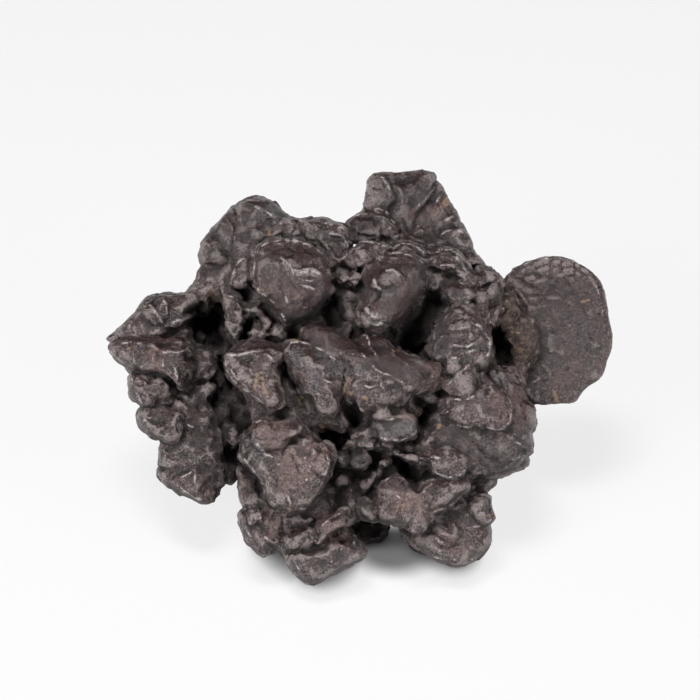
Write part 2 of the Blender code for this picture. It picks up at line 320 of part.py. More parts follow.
LOWER_PART = (
    Knob("front_boulder", 11, 8, 14, (
        (-17.7, -15.8), (-17.1, -14), (-15.6, -12.6), (-14.5, -11.1), (-12.6, -10.5), (-10.4, -10.6),
        (-8.4, -10.6), (-7, -11.8), (-6.4, -13.4), (-4, -14.5), (-2.2, -15.7), (-2, -17), (-2.8, -18.8),
        (-3.3, -20.6), (-4.6, -22.6), (-5.6, -24.2), (-6.4, -25.2), (-8.4, -25.6), (-10.4, -25.5),
        (-12.6, -24.6), (-13.9, -23), (-14.2, -21), (-15.2, -19.7), (-16.2, -18.4), (-17.4, -17.6))),
    Knob("boulder_brow", 15, 4.4, 8, (
        (-16, -13.4), (-14.7, -11.6), (-12.4, -11.1), (-9.4, -11.1), (-7.6, -12.2), (-8.2, -13.7),
        (-9.8, -14.6), (-10.8, -15.9), (-12.8, -16), (-14.8, -15.6), (-15.8, -14.6))),
    Knob("boulder_right_cheek", 15.5, 3, 8, (
        (-6.2, -14.4), (-4.4, -15), (-2.8, -16.2), (-3.4, -18.2), (-4, -20.2), (-6, -20), (-6.6, -17.6))),
    Knob("under_boulder", 7, 5, 9, (
        (-17.7, -19.2), (-16.4, -19), (-14.6, -20.6), (-14.2, -23), (-13, -24.8), (-14.6, -25.8),
        (-16.8, -25.6), (-17.7, -23.6), (-17.8, -21))),
    Knob("left_heel", 5, 8, 11, (
        (-18.2, -26.6), (-17.4, -25.4), (-15, -24.8), (-12.8, -24.8), (-11, -26), (-10.9, -28.4),
        (-11, -31), (-12.2, -32.4), (-13.9, -33.2), (-15.4, -32.1), (-17, -30.8), (-17.7, -28.8))),
    Knob("heel_block", 10.5, 3, 8, (
        (-16.5, -25.9), (-14.6, -25.6), (-14.2, -27.4), (-16.2, -28))),
    Knob("heel_nut", 10, 5, 8, (
        (-10.6, -28.6), (-9.4, -28), (-7, -28), (-5.5, -28.3), (-5, -29.5), (-5.4, -31), (-7.4, -31.8),
        (-9.6, -32.3), (-10.6, -31.2))),
    Knob("heel_ridge", 8, 5, 8, (
        (-10.4, -26.4), (-8, -25.8), (-5.6, -26.2), (-5, -27.6), (-7, -28), (-9.6, -28))),
    Knob("front_foot", 7, 8, 12, (
        (-10.8, -32.7), (-9.4, -32.2), (-7.4, -32), (-5, -31.4), (-3, -30.4), (-0.8, -29.8), (1, -30.1),
        (2.2, -31), (2.8, -32.6), (2.2, -33.6), (0, -34.6), (-2, -35.8), (-4.2, -37), (-6, -37.6),
        (-7.3, -37.3), (-9, -35.9), (-10.2, -34.4))),
    Knob("brown_slab", 11, 4.5, 9, (
        (-5.2, -27.8), (-3.6, -26.7), (-1.8, -25.6), (-0.2, -25.4), (0.5, -26.8), (0, -28.2),
        (-1.6, -28.7), (-2.8, -29.3), (-4.2, -30.7), (-5.4, -31.2), (-5.3, -29.4))),
    Knob("recess_knob", 4, 5, 7, (
        (-2.9, -20), (-1.8, -19.1), (-0.4, -19.5), (0.3, -21), (-0.4, -22), (-2, -22.3), (-2.9, -21.2))),
    Knob("recess_low_bead", 4, 4, 7, (
        (-2.6, -22.8), (-0.8, -22.2), (0.2, -23), (-0.8, -24), (-2.2, -23.9))),
    Knob("recess_top", 7, 4, 8, (
        (-2.2, -17.4), (-1.2, -16.1), (0, -16.5), (0, -18), (-1.4, -18.7))),
    Knob("recess_bead", 9, 3.6, 7, (
        (-0.1, -17.6), (0.4, -16.5), (1.5, -16), (2.7, -16.5), (3.1, -17.8), (2.4, -19), (1.3, -19.4),
        (0.2, -18.8))),
    Knob("recess_right_bead", 8, 3.4, 7, (
        (4.5, -17.8), (5.5, -17), (6.6, -17.1), (7, -18.2), (6.1, -19), (4.8, -18.9))),
    Knob("recess_plate", 6, 4, 8, (
        (1.6, -21), (3, -19.6), (4.6, -18.8), (5.4, -19.4), (4.6, -21), (3.6, -22.6), (2, -23))),
    Knob("recess_low_knob", 9, 4.6, 8, (
        (1.3, -24.6), (2.6, -23.6), (3.8, -24.2), (4.2, -25.6), (4, -27.2), (2.6, -27), (1.4, -26))),
    Knob("recess_bit", 7, 4, 8, (
        (-0.8, -24.6), (0.2, -23.8), (1, -24.8), (0.5, -25.8), (-0.4, -25.5))),
    Knob("recess_floor", 2, 6, 8, (
        (-6, -20), (0, -18), (8, -18), (12, -21), (8, -27), (0, -27), (-6, -26))),
    Knob("right_haunch", 8, 8, 13, (
        (4.4, -24), (4.6, -22.2), (5.6, -20.8), (6.8, -19.8), (8.2, -20), (9.4, -21), (10.6, -21.9),
        (12, -20.9), (13.6, -20.4), (16, -20.6), (18, -20.5), (19.4, -21.3), (19.2, -22.5), (18, -23.5),
        (16, -25), (13.8, -26.2), (12.8, -27.6), (12, -29), (10.4, -29.3), (8.6, -28.5), (6.6, -28),
        (5.2, -27.6), (4.5, -26))),
    Knob("haunch_lobe", 12, 4, 8, (
        (11.8, -24), (13, -21.6), (15.6, -20.9), (18.6, -21.2), (18.8, -22.3), (16.8, -23.9), (14.6, -25.2),
        (12.6, -26))),
    Knob("right_foot", 4, 8, 12, (
        (9.8, -29.8), (12, -29.2), (13, -27.8), (14.2, -26.8), (16, -25.8), (18, -26), (19.8, -27.2),
        (22.4, -28), (22.8, -29.8), (22.1, -31.8), (20.8, -33.3), (19, -34.3), (17, -34.8), (14.6, -34.3),
        (13, -33.5), (11.8, -32.6), (10.6, -31.2))),
    Knob("foot_scarp", 9, 3.4, 8, (
        (13.2, -28.2), (14.4, -27.2), (16.4, -27), (18, -27.8), (17.8, -29.6), (16.4, -30.7), (14.8, -30.5),
        (13.8, -29.6))),
    Knob("right_hip", 4, 7, 10, (
        (18.1, -24.8), (18.5, -23.6), (19.8, -22.7), (21.4, -22.3), (22.4, -23.4), (22.5, -25), (23, -26),
        (23.5, -26.9), (22.6, -27.9), (20.6, -28.4), (19, -28), (18.1, -26.6))),
    Knob("hip_top", -1, 6, 9, (
        (19.2, -20.4), (21.5, -20), (23.4, -20.3), (22.4, -22.2), (21.2, -23), (19.4, -22.8))),
    Knob("inner_foot", -5, 5, 9, (
        (-2, -27), (3, -26.5), (6.2, -27.6), (6.2, -29.4), (5, -30.6), (2.6, -30.8), (0, -30.4),
        (-2, -29.4))),
    Knob("right_foot_inside", -2, 5, 9, (
        (7.4, -27), (9.6, -28), (12.2, -30), (12.4, -32.8), (10.7, -32.5), (9.2, -30.9), (8.1, -29.2))),
)

# The masses that the knobs stand out from. They fill the gaps up to a few millimetres below the knobs.
MASSES = (
    Knob("wing_mass", -2, 7, 6, (
        (-37, 0), (-34.5, 5), (-31, 8), (-26, 8.2), (-25, 4), (-24.7, 1), (-22.5, -1),
        (-21.8, -8), (-20.5, -12),
        (-20, -20), (-23, -23), (-28, -21.5), (-29.5, -17), (-30, -13), (-33, -10), (-34.5, -5))),
    Knob("crown_mass", -8, 9, 8, (
        (-24, 13), (-23.5, 17), (-20, 21), (-16, 23.8), (-12, 22.3), (-8, 20), (-3, 20), (0, 18), (1, 14),
        (-3, 12), (-13, 12), (-18, 8), (-25, 8.5))),
    Knob("middle_mass", -4.5, 9, 9, (
        (-15, 14), (-10, 17), (-2, 16), (4, 17), (10, 16.5), (17, 15.6), (20, 12.5), (23.5, 12), (24.5, 8),
        (21, 4), (12, 1), (0, 0), (-12, 0), (-19, 4), (-19, 9))),
    Knob("ledge_mass", 2.5, 9, 8, (
        (-18.5, 0), (-10, 2), (-4, 3.4), (4, 2.4), (10, -0.5), (15, -3.5), (16, -7), (12, -10),
        (4, -12), (-2, -13),
        (-10, -13), (-15, -12), (-17.5, -5))),
    Knob("right_mass", -1, 11, 9, (
        (13, 8), (15.5, 13), (20, 12.4), (22, 8), (22.6, 3), (22.6, -2), (26.5, -3.6), (28.6, -9),
        (28.6, -15),
        (27, -18.6), (22, -20.2), (19, -20.8), (15, -20), (10, -17), (12, -10), (13, -4), (13.6, 2))),
    Knob("lower_left_mass", 3, 9, 9, (
        (-17, -13), (-10, -11), (-3, -15), (-3, -21), (-1, -26), (0.6, -31), (-3, -35), (-9, -34),
        (-13, -31.8),
        (-16.6, -29.5), (-16.6, -24), (-17.2, -18))),
    Knob("lower_right_mass", 2, 9, 9, (
        (5, -21), (10, -19.5), (19, -21), (21.5, -24), (21.8, -30), (19.5, -33.3), (15, -33.6), (11.4, -31),
        (8.4, -28), (5.2, -26.2))),
    Knob("recess_mass", 1, 7, 8, (
        (-6, -14), (2, -12), (10, -14), (13, -20), (10, -25), (5, -26), (0, -25.5), (-6, -24))),
    Knob("peak_mass", -15, 5, 8, (
        (2.5, 16), (4, 24), (11, 26), (15, 21), (19, 13.5), (14, 9), (3, 9))),
    Knob("disc_neck", -9, 5, 6, (
        (19, 9), (25, 10.5), (28, 6), (28.5, -3), (24, -7), (20, -4), (18, 3))),
    Knob("wing_bridge", -9, 6, 8, (
        (-28, 1), (-27, 8), (-18, 8), (-15, -4), (-15, -18), (-19.5, -20.3), (-23, -16), (-24, -6))),
    Knob("body_mass", -6.5, 8, 9, (
        (-19, 8), (-17, 14), (-16, 19), (-10, 18), (-4, 17), (2, 15), (8, 14), (16, 12), (21, 9),
        (23, 0), (26, -8),
        (25, -16), (20, -19), (19, -27), (13, -28), (9, -24), (2, -24.5), (-3, -29), (-7, -32), (-12, -30),
        (-15, -25), (-15, -18), (-16, -10), (-18, -2))),
)

# The knobs of the sides that the front view hides: a spiral of directions over the stone's inside.
HIDDEN_SEED = 11
HIDDEN_CENTRE = (1.5, 7.5, 21.0)
HIDDEN_RADII = (22.0, 17.0, 15.0)
HIDDEN_COUNT = 120
HIDDEN_SIZES = (3.2, 6.6)
BACK_FEET = ((-12, 14, 7.5), (14, 17, 8))


def clear_scene():
    for thing in list(bpy.data.objects):
        bpy.data.objects.remove(thing)


def from_view(right, up, near):
    """The point, in millimetres, that the eye sees at (right, up) and that stands out by near."""
    shrink = 1 - near / EYE_DISTANCE
    right, up = right * shrink, up * shrink
    back = up * math.sin(LOOK_DOWN) - near * math.cos(LOOK_DOWN)
    high = up * math.cos(LOOK_DOWN) + near * math.sin(LOOK_DOWN) + MIDDLE_HEIGHT
    return Vector((right, back, high))


def to_view(place):
    """(right, up, near) of a point, the other way round from from_view."""
    high = place.z - MIDDLE_HEIGHT
    near = high * math.sin(LOOK_DOWN) - place.y * math.cos(LOOK_DOWN)
    up = high * math.cos(LOOK_DOWN) + place.y * math.sin(LOOK_DOWN)
    grow = 1 / (1 - near / EYE_DISTANCE)
    return place.x * grow, up * grow, near


def closed_curve(points, count):
    """count points along a smooth closed curve through the given ones (a Catmull-Rom spline)."""
    curve = []
    total = len(points)
    for step in range(count):
        at = step * total / count
        i = int(at)
        t = at - i
        p0, p1, p2, p3 = (Vector(points[(i + k) % total]) for k in (-1, 0, 1, 2))
        curve.append(
            0.5 * (2 * p1 + (p2 - p0) * t + (2 * p0 - 5 * p1 + 4 * p2 - p3) * t**2
                   + (3 * p1 - p0 - 3 * p2 + p3) * t**3))
    return curve


def facets(chance):
    """Seeded planes that cut a lump of radius 1: a direction and how far out each plane is."""
    planes = []
    for _ in range(FACETS):
        way = Vector([chance.gauss(0, 1) for _ in range(3)]).normalized()
        planes.append((way, chance.uniform(*FACET_DEPTHS)))
    return planes


def cut_back(way, planes):
    """How much of a lump's radius is left, in a direction, under its planes."""
    left = 1.0
    for plane, depth in planes:
        facing = way.dot(plane)
        if facing > depth:
            left = min(left, depth / facing)
    return left


def add_knob(mesh, knob):
    """Lofts a knob: its outline is its widest ring, which closes in towards the eye and the inside."""
    outline = closed_curve(knob.outline, RING_POINTS)
    middle = sum(outline, Vector((0, 0))) / len(outline)
    chance = random.Random(knob.name)
    planes = facets(chance) + [(TOP_WAY, chance.uniform(*TOP_CUT))]
    shoulder = knob.near + knob.front * (1 - DOME)
    rings = []
    for step in range(-RINGS + 1, RINGS):
        angle = step / RINGS * math.pi / 2
        width = math.cos(angle) ** SQUARENESS * SWELL
        reach = knob.front * DOME if step > 0 else knob.back + knob.front * (1 - DOME)
        near = shoulder + reach * math.copysign(abs(math.sin(angle)) ** SQUARENESS, angle)
        ring = []
        for point in outline:
            out = (point - middle) * width
            way = Vector((*((point - middle).normalized() * math.cos(angle)), math.sin(angle)))
            left = 1 - (1 - cut_back(way, planes)) * max(0, math.sin(angle))
            stand = shoulder + (near - shoulder) * left
            ring.append(mesh.verts.new(from_view(*(middle + out * left), stand - LEAN * out.y)))
        rings.append(ring)
    for lower, upper in zip(rings, rings[1:]):
        for i, start in enumerate(lower):
            j = (i + 1) % RING_POINTS
            mesh.faces.new((start, lower[j], upper[j], upper[i]))
    front_left = cut_back(Vector((0, 0, 1)), planes)
    back_tip = knob.near - knob.back
    front_tip = shoulder + knob.front * DOME * front_left
    for ring, tip_near in ((rings[0], back_tip), (rings[-1], front_tip)):
        tip = mesh.verts.new(from_view(*middle, tip_near))
        for i, start in enumerate(ring):
            mesh.faces.new((start, ring[(i + 1) % RING_POINTS], tip))


def add_pebbles(mesh):
    for right, up, near, radius in EARTHY_PEBBLES:
        middle = Matrix.Translation(from_view(right, up, near))
        bmesh.ops.create_icosphere(mesh, subdivisions=2, radius=radius, matrix=middle)


def add_boulder(mesh, centre, radii, chance):
    """A lump with flattened sides."""
    planes = facets(chance)
    ball = bmesh.ops.create_icosphere(mesh, subdivisions=3, radius=1)
    for vertex in ball["verts"]:
        way = vertex.co.normalized()
        left = cut_back(way, planes)
        vertex.co = centre + Vector(a * b * left for a, b in zip(way, radii))


def add_hidden_sides(mesh):
    """Lumps on the back, the sides and underneath, on a spiral of directions, and the feet at the back."""
    chance = random.Random(HIDDEN_SEED)
    towards_eye = Vector((0, -math.cos(LOOK_DOWN), math.sin(LOOK_DOWN)))
    golden_angle = math.pi * (3 - math.sqrt(5))
    for i in range(HIDDEN_COUNT):
        z = 1 - 2 * (i + 0.5) / HIDDEN_COUNT
        flat = math.sqrt(1 - z * z)
        way = Vector((math.cos(golden_angle * i) * flat, math.sin(golden_angle * i) * flat, z))
        size = chance.uniform(*HIDDEN_SIZES)
        reach = chance.uniform(0.84, 1.12)
        radii = [size * chance.uniform(0.8, 1.2) for _ in range(3)]
        if way.dot(towards_eye) > -0.12:
            continue
        centre = Vector(a + b * c * reach for a, b, c in zip(HIDDEN_CENTRE, HIDDEN_RADII, way))
        centre.z = max(centre.z, size * 1.2 + 1)
        add_boulder(mesh, centre, radii, chance)
    for x, y, size in BACK_FEET:
        add_boulder(mesh, Vector((x, y, size - 1.2)), (size, size, size), chance)


def stone_mesh():
    mesh = bmesh.new()
    for part in (LEFT_WING, CROWN, BACK_PEAK, CENTRE, RIGHT_SIDE, DISC, LOWER_PART, MASSES):
        for knob in part:
            add_knob(mesh, knob)
    add_pebbles(mesh)
    add_hidden_sides(mesh)
    bmesh.ops.recalc_face_normals(mesh, faces=mesh.faces)
    return mesh


def evaluated(thing):
    """The mesh of an object with its modifiers worked out, which are then taken off it."""
    ready = thing.evaluated_get(bpy.context.evaluated_depsgraph_get())
    data = bpy.data.meshes.new_from_object(ready)
    thing.modifiers.clear()
    return data


def fuse(stone):
    remesh = stone.modifiers.new("fuse", "REMESH")
    remesh.mode = "VOXEL"
    remesh.voxel_size = VOXEL
    stone.data = evaluated(stone)


def bump(place, wave):
    """A rounded bump's height at a place: 0 in the creases between bumps, and about 1 at the highest."""
    return abs(noise.noise(place / wave))


def dimple(place, wave):
    """0 at the bottom of a dimple, and rising to the ridge where it meets the next."""
    bent = place / wave + BEND * noise.noise_vector(place / BEND_WAVE)
    distances, _ = noise.voronoi(bent)
    return distances[0] ** 2


def on_disc(place):
    """1 on the disc, as the eye sees it, and 0 away from it."""
    right, up, _ = to_view(place)
    away = math.hypot((right - DISC_PLACE[0]) / DISC_RADII[0], (up - DISC_PLACE[1]) / DISC_RADII[1])
    return min(1, max(0, 4 * (1.15 - away)))


def swelling(place, hidden):
    """How far the surface stands out; hidden is 0 where the eye sees it and 1 on the side away from it."""
    calm = 1 - (1 - DISC_ROUGHNESS) * on_disc(place)
    height = calm * DIMPLE_DEPTH * (dimple(place, DIMPLE_WAVE) - MEAN_DIMPLE)
    return height + hidden * calm * HIDDEN_HEIGHT * (bump(place, HIDDEN_WAVE) - MEAN_BUMP)


def roughen(stone):
    away_from_eye = Vector((0, math.cos(LOOK_DOWN), -math.sin(LOOK_DOWN)))
    moves = []
    for vertex in stone.data.vertices:
        hidden = min(1, max(0, 2 * vertex.normal.dot(away_from_eye)))
        moves.append(vertex.normal * swelling(vertex.co, hidden))
    for vertex, move in zip(stone.data.vertices, moves):
        vertex.co += move


def thin_out(stone):
    triangles = sum(len(face.vertices) - 2 for face in stone.data.polygons)
    decimate = stone.modifiers.new("thin out", "DECIMATE")
    decimate.ratio = min(1.0, TRIANGLES / triangles)
    stone.data = evaluated(stone)


def stand_on_ground(stone):
    """Cuts the feet flat where the stone rests."""
    mesh = bmesh.new()
    mesh.from_mesh(stone.data)
    everything = mesh.verts[:] + mesh.edges[:] + mesh.faces[:]
    ground = {"plane_co": (0, 0, 0), "plane_no": (0, 0, 1)}
    cut = bmesh.ops.bisect_plane(mesh, geom=everything, clear_inner=True, **ground)
    rim = [part for part in cut["geom_cut"] if isinstance(part, bmesh.types.BMEdge)]
    bmesh.ops.holes_fill(mesh, edges=rim)
    bmesh.ops.recalc_face_normals(mesh, faces=mesh.faces)
    mesh.to_mesh(stone.data)


def limonite():
    material = bpy.data.materials.new("limonite")
    material.use_nodes = True
    surface = material.node_tree.nodes["Principled BSDF"].inputs
    surface["Base Color"].default_value = DARK_BROWN
    surface["Roughness"].default_value = ROUGHNESS
    return material


def main():
    clear_scene()
    mesh = stone_mesh()
    data = bpy.data.meshes.new("concretion")
    mesh.to_mesh(data)
    stone = bpy.data.objects.new("concretion", data)
    bpy.context.scene.collection.objects.link(stone)
    fuse(stone)
    roughen(stone)
    thin_out(stone)
    stand_on_ground(stone)
    stone.data.transform(Matrix.Scale(MM, 4) @ Matrix.Translation((-BOX_MIDDLE[0], -BOX_MIDDLE[1], 0)))
    stone.data.materials.append(limonite())
    stone.data.shade_smooth()


if __name__ == "__main__":
    main()
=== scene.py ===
"""The visual model of the limonite concretion, and its photograph's camera, floor and light.

The stone is built from the same knobs as the CAD model, in the same frame, but finer: a denser skin with the ridges,
creases and pebbles that the photograph shows, and a material for its satin dark crust and the earth in its gaps.
Places are (right, up) in millimetres as the camera sees the stone, and near is how far a place stands out to the eye.
"""

import math
import random
from collections import namedtuple

import bmesh
import bpy
import numpy as np
from mathutils import Matrix, Vector, noise
from mathutils.bvhtree import BVHTree


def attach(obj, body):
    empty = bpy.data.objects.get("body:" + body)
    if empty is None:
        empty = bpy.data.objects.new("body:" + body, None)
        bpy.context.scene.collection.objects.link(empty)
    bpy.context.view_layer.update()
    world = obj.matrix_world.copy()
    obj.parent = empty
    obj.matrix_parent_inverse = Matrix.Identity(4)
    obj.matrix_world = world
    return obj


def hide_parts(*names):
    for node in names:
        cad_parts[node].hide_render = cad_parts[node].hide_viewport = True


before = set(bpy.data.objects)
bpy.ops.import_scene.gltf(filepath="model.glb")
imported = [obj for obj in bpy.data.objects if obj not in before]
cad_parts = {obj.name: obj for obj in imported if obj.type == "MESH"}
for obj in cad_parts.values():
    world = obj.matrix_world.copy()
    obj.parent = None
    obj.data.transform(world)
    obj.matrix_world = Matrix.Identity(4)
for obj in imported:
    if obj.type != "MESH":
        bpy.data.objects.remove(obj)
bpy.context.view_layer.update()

MM = 0.001
LOOK_DOWN = math.radians(30)
EYE_DISTANCE = 450.0
VIEW_WIDTH = 112.0
MIDDLE_HEIGHT = 29.0  # how high the middle of the seen plane is above the ground
BOX_MIDDLE = (1.92, 1.83)  # x and y of the box's middle, measured from the middle of the seen plane

RING_POINTS = 56
RINGS = 10
SQUARENESS = 0.8  # 1 is a round profile, less is boxier
LEAN = 0.25  # how far a knob's outline leans back at its top, for each millimetre up
SWELL = 1.0  # the outlines as seen, made this much larger
DOME = 0.55  # how much of what a knob stands out by is dome, and the rest is its side wall
TOP_WAY = Vector((0, 0.87, 0.5))  # straight up, as (right, up, near)
TOP_CUT = (0.70, 0.88)  # the least and most that is left of a knob towards its flattened top
FACETS = 9
FACET_DEPTHS = (0.72, 0.96)
VOXEL = 0.31
FLOOR_GLOW = 0.79
# The painted shadow on the paper: how far it reaches from the stone, the middle of a darker spot between the feet, and
# how much glow is left there.
FLOOR_SHADE_REACH = 6
ARCH = (5.2, -15.4, 0)  # on the paper, between the feet, where little light gets in
ARCH_LIGHT = 0.2
TRIANGLES = 196000
SEEN_WEIGHT = 0.6  # of the weight that the hidden sides have, when triangles are taken away
DRAWN_WEIGHT = 0.0  # of the places where a stroke or a small patch is drawn
SEEN_FACTOR = 0.02
SMALL_PATCH = 0.45

# The surface: dimples that meet in ridges, bent a little by noise, and broad bumps on the hidden sides.
DIMPLE_WAVE = 4.6
DIMPLE_DEPTH = 0.8
MEAN_DIMPLE = 0.4
BEND_WAVE = 6.0
BEND = 0.35
HIDDEN_WAVE = 9.0
HIDDEN_HEIGHT = 3.5
MEAN_BUMP = 0.23

# The disc is smoother than the rest: its middle, its radii across and up, and how much of the dimples it has.
DISC_PLACE = (35, 3)
DISC_RADII = (7.4, 12.6)
DISC_ROUGHNESS = 0.12
SMALL_DIMPLE_WAVE = 2.1
SMALL_DIMPLE_DEPTH = 0.25
WRINKLE_WAVE = 1.5
WRINKLE_HEIGHT = 0.10
MEAN_RIDGE = 0.4
FACE_WAVE = 3.0
FACE_SLANT = 0.55
FACE_BEND = 0.5
GRAIN_WAVE = 0.8
GRAIN_HEIGHT = 0.05

# How ridges and creases are found: how often the skin is averaged for them, and how high a full ridge stands out.
RELIEF_ROUNDS = 6
BROAD_ROUNDS = 24
FULL_RELIEF = 0.09

# How the gaps are found, which get painted shade, rubble and more roughness: rays from each point, how far they reach,
# and where they start.
SHELTER_WAYS = 26
SHELTER_REACH = 14
SHELTER_LIFT = 0.5
RUBBLE_FROM = 0.35
RUBBLE_WAVE = 2.6
RUBBLE_HEIGHT = 0.55
CRUMB_WAVE = 1.2
CRUMB_HEIGHT = 0.30
EARTH_RUBBLE = 0.8

Knob = namedtuple("Knob", "name near front back outline")

LEFT_WING = (
    Knob("wing_top", -1, 5, 9, (
        (-38.8, 1.6), (-37.4, 3.1), (-35.6, 5.2), (-34, 7), (-33, 8.2), (-31, 9), (-28, 9.2), (-25.9, 9),
        (-24.5, 8.4), (-24.3, 6.6), (-25.4, 5), (-28, 3.4), (-31, 2.2), (-35, 1.6))),
    Knob("wing_top_crest", 1, 4, 6, (
        (-33.6, 7), (-32.4, 7.8), (-30.8, 8.4), (-29.4, 7.9), (-29, 5.8), (-29.6, 4), (-31.6, 4),
        (-33, 5))),
    Knob("wing_ledge", 2, 7, 9, (
        (-38.8, 0.8), (-36.6, 1.8), (-33, 1.9), (-29.6, 2), (-26.4, 2), (-25, 0.6), (-24.8, -2),
        (-25.4, -4.8), (-27, -6.2), (-28.8, -4.6), (-30.6, -3.8), (-33.4, -3.6), (-35.4, -3),
        (-37.2, -1.4))),
    Knob("wing_knob", 2, 7, 8, (
        (-35.8, -4.2), (-34.8, -3.4), (-32.4, -3.5), (-30.2, -3.8), (-29, -5), (-28.7, -7), (-29.3, -8.7),
        (-31.4, -9.2), (-33.5, -8.9), (-35, -7.8), (-35.8, -6))),
    Knob("wing_low_knob", 2, 7, 8, (
        (-34.3, -10.3), (-33.4, -9.2), (-31, -8.8), (-28.4, -8.8), (-26.8, -10), (-26.2, -12.4),
        (-27, -14.4),
        (-28.8, -15.2), (-30.6, -14.6), (-32.6, -13.6), (-33.8, -12.2))),
    Knob("wing_step", 1, 5, 7, (
        (-28.8, -7), (-27, -6.6), (-25.2, -7.6), (-24.4, -9.4), (-24.6, -12), (-26.2, -12.9), (-27.4, -11),
        (-28.6, -9.4))),
    Knob("wing_root", 1, 6, 8, (
        (-30.8, -15.6), (-29.4, -14.6), (-27.2, -14.9), (-26.2, -16.4), (-26.6, -18.4), (-28.4, -19.6),
        (-30.2, -18.8), (-30.6, -17.2))),
    Knob("wing_root_inside", 1, 6, 8, (
        (-26.6, -13.4), (-24.4, -12.8), (-22, -13.4), (-20.6, -15), (-20.2, -17.6), (-21.6, -19.2),
        (-24, -18.8), (-26, -17.6), (-26.6, -15.6))),
    Knob("wing_toe", 0, 5, 7, (
        (-30.7, -19.6), (-29.8, -18.2), (-28.2, -18.6), (-27.6, -20.4), (-28.4, -22), (-30, -21.2))),
    Knob("wing_foot", 2, 6, 8, (
        (-28.9, -21), (-28, -19.6), (-26.2, -18.8), (-24.6, -18), (-22.8, -18.3), (-21, -19.6),
        (-20, -21.4),
        (-21, -23), (-22.6, -24.5), (-25.3, -23.9), (-27.6, -22.8))),
    Knob("wing_inner_knob", 0, 5, 7, (
        (-25.4, -0.6), (-23.4, -0.4), (-21.8, -1.4), (-21.6, -3.4), (-22.4, -4.8), (-24.4, -5),
        (-25.6, -3.4))),
    Knob("crevice_knob", -1, 5, 7, (
        (-25.2, -4.6), (-23, -4.2), (-21.4, -5), (-21.4, -6.8), (-23.2, -7.8), (-25, -7.4))),
    Knob("crevice_deep_knob", -4, 5, 7, (
        (-22.8, -8.6), (-20.5, -7.8), (-18.7, -9.5), (-19.2, -12.4), (-21.5, -13.2), (-23.2, -12))),
    Knob("crevice_egg", -1, 4, 6, (
        (-19.9, -12.4), (-18.8, -11.4), (-17.8, -12.2), (-17.6, -14.2), (-18.2, -15.8), (-19.2, -16),
        (-19.9, -14.4))),
    Knob("crevice_low_egg", -3, 4, 6, (
        (-20.2, -18.8), (-19.2, -17.8), (-18.2, -18.8), (-18, -20.6), (-19.2, -21.6), (-20.2, -20.6))),
    Knob("crevice_floor", -9, 4, 7, (
        (-26, 2.6), (-24.6, 3.6), (-22, 3.9), (-19.8, 3.4), (-19.2, 1.8), (-20.8, 0.6), (-23.6, 0.8))),
    Knob("wing_neck", -4, 5, 7, (
        (-25.2, 8.9), (-23.6, 9.8), (-22.2, 9.4), (-22, 7.6), (-22.8, 6), (-24.4, 6))),
)

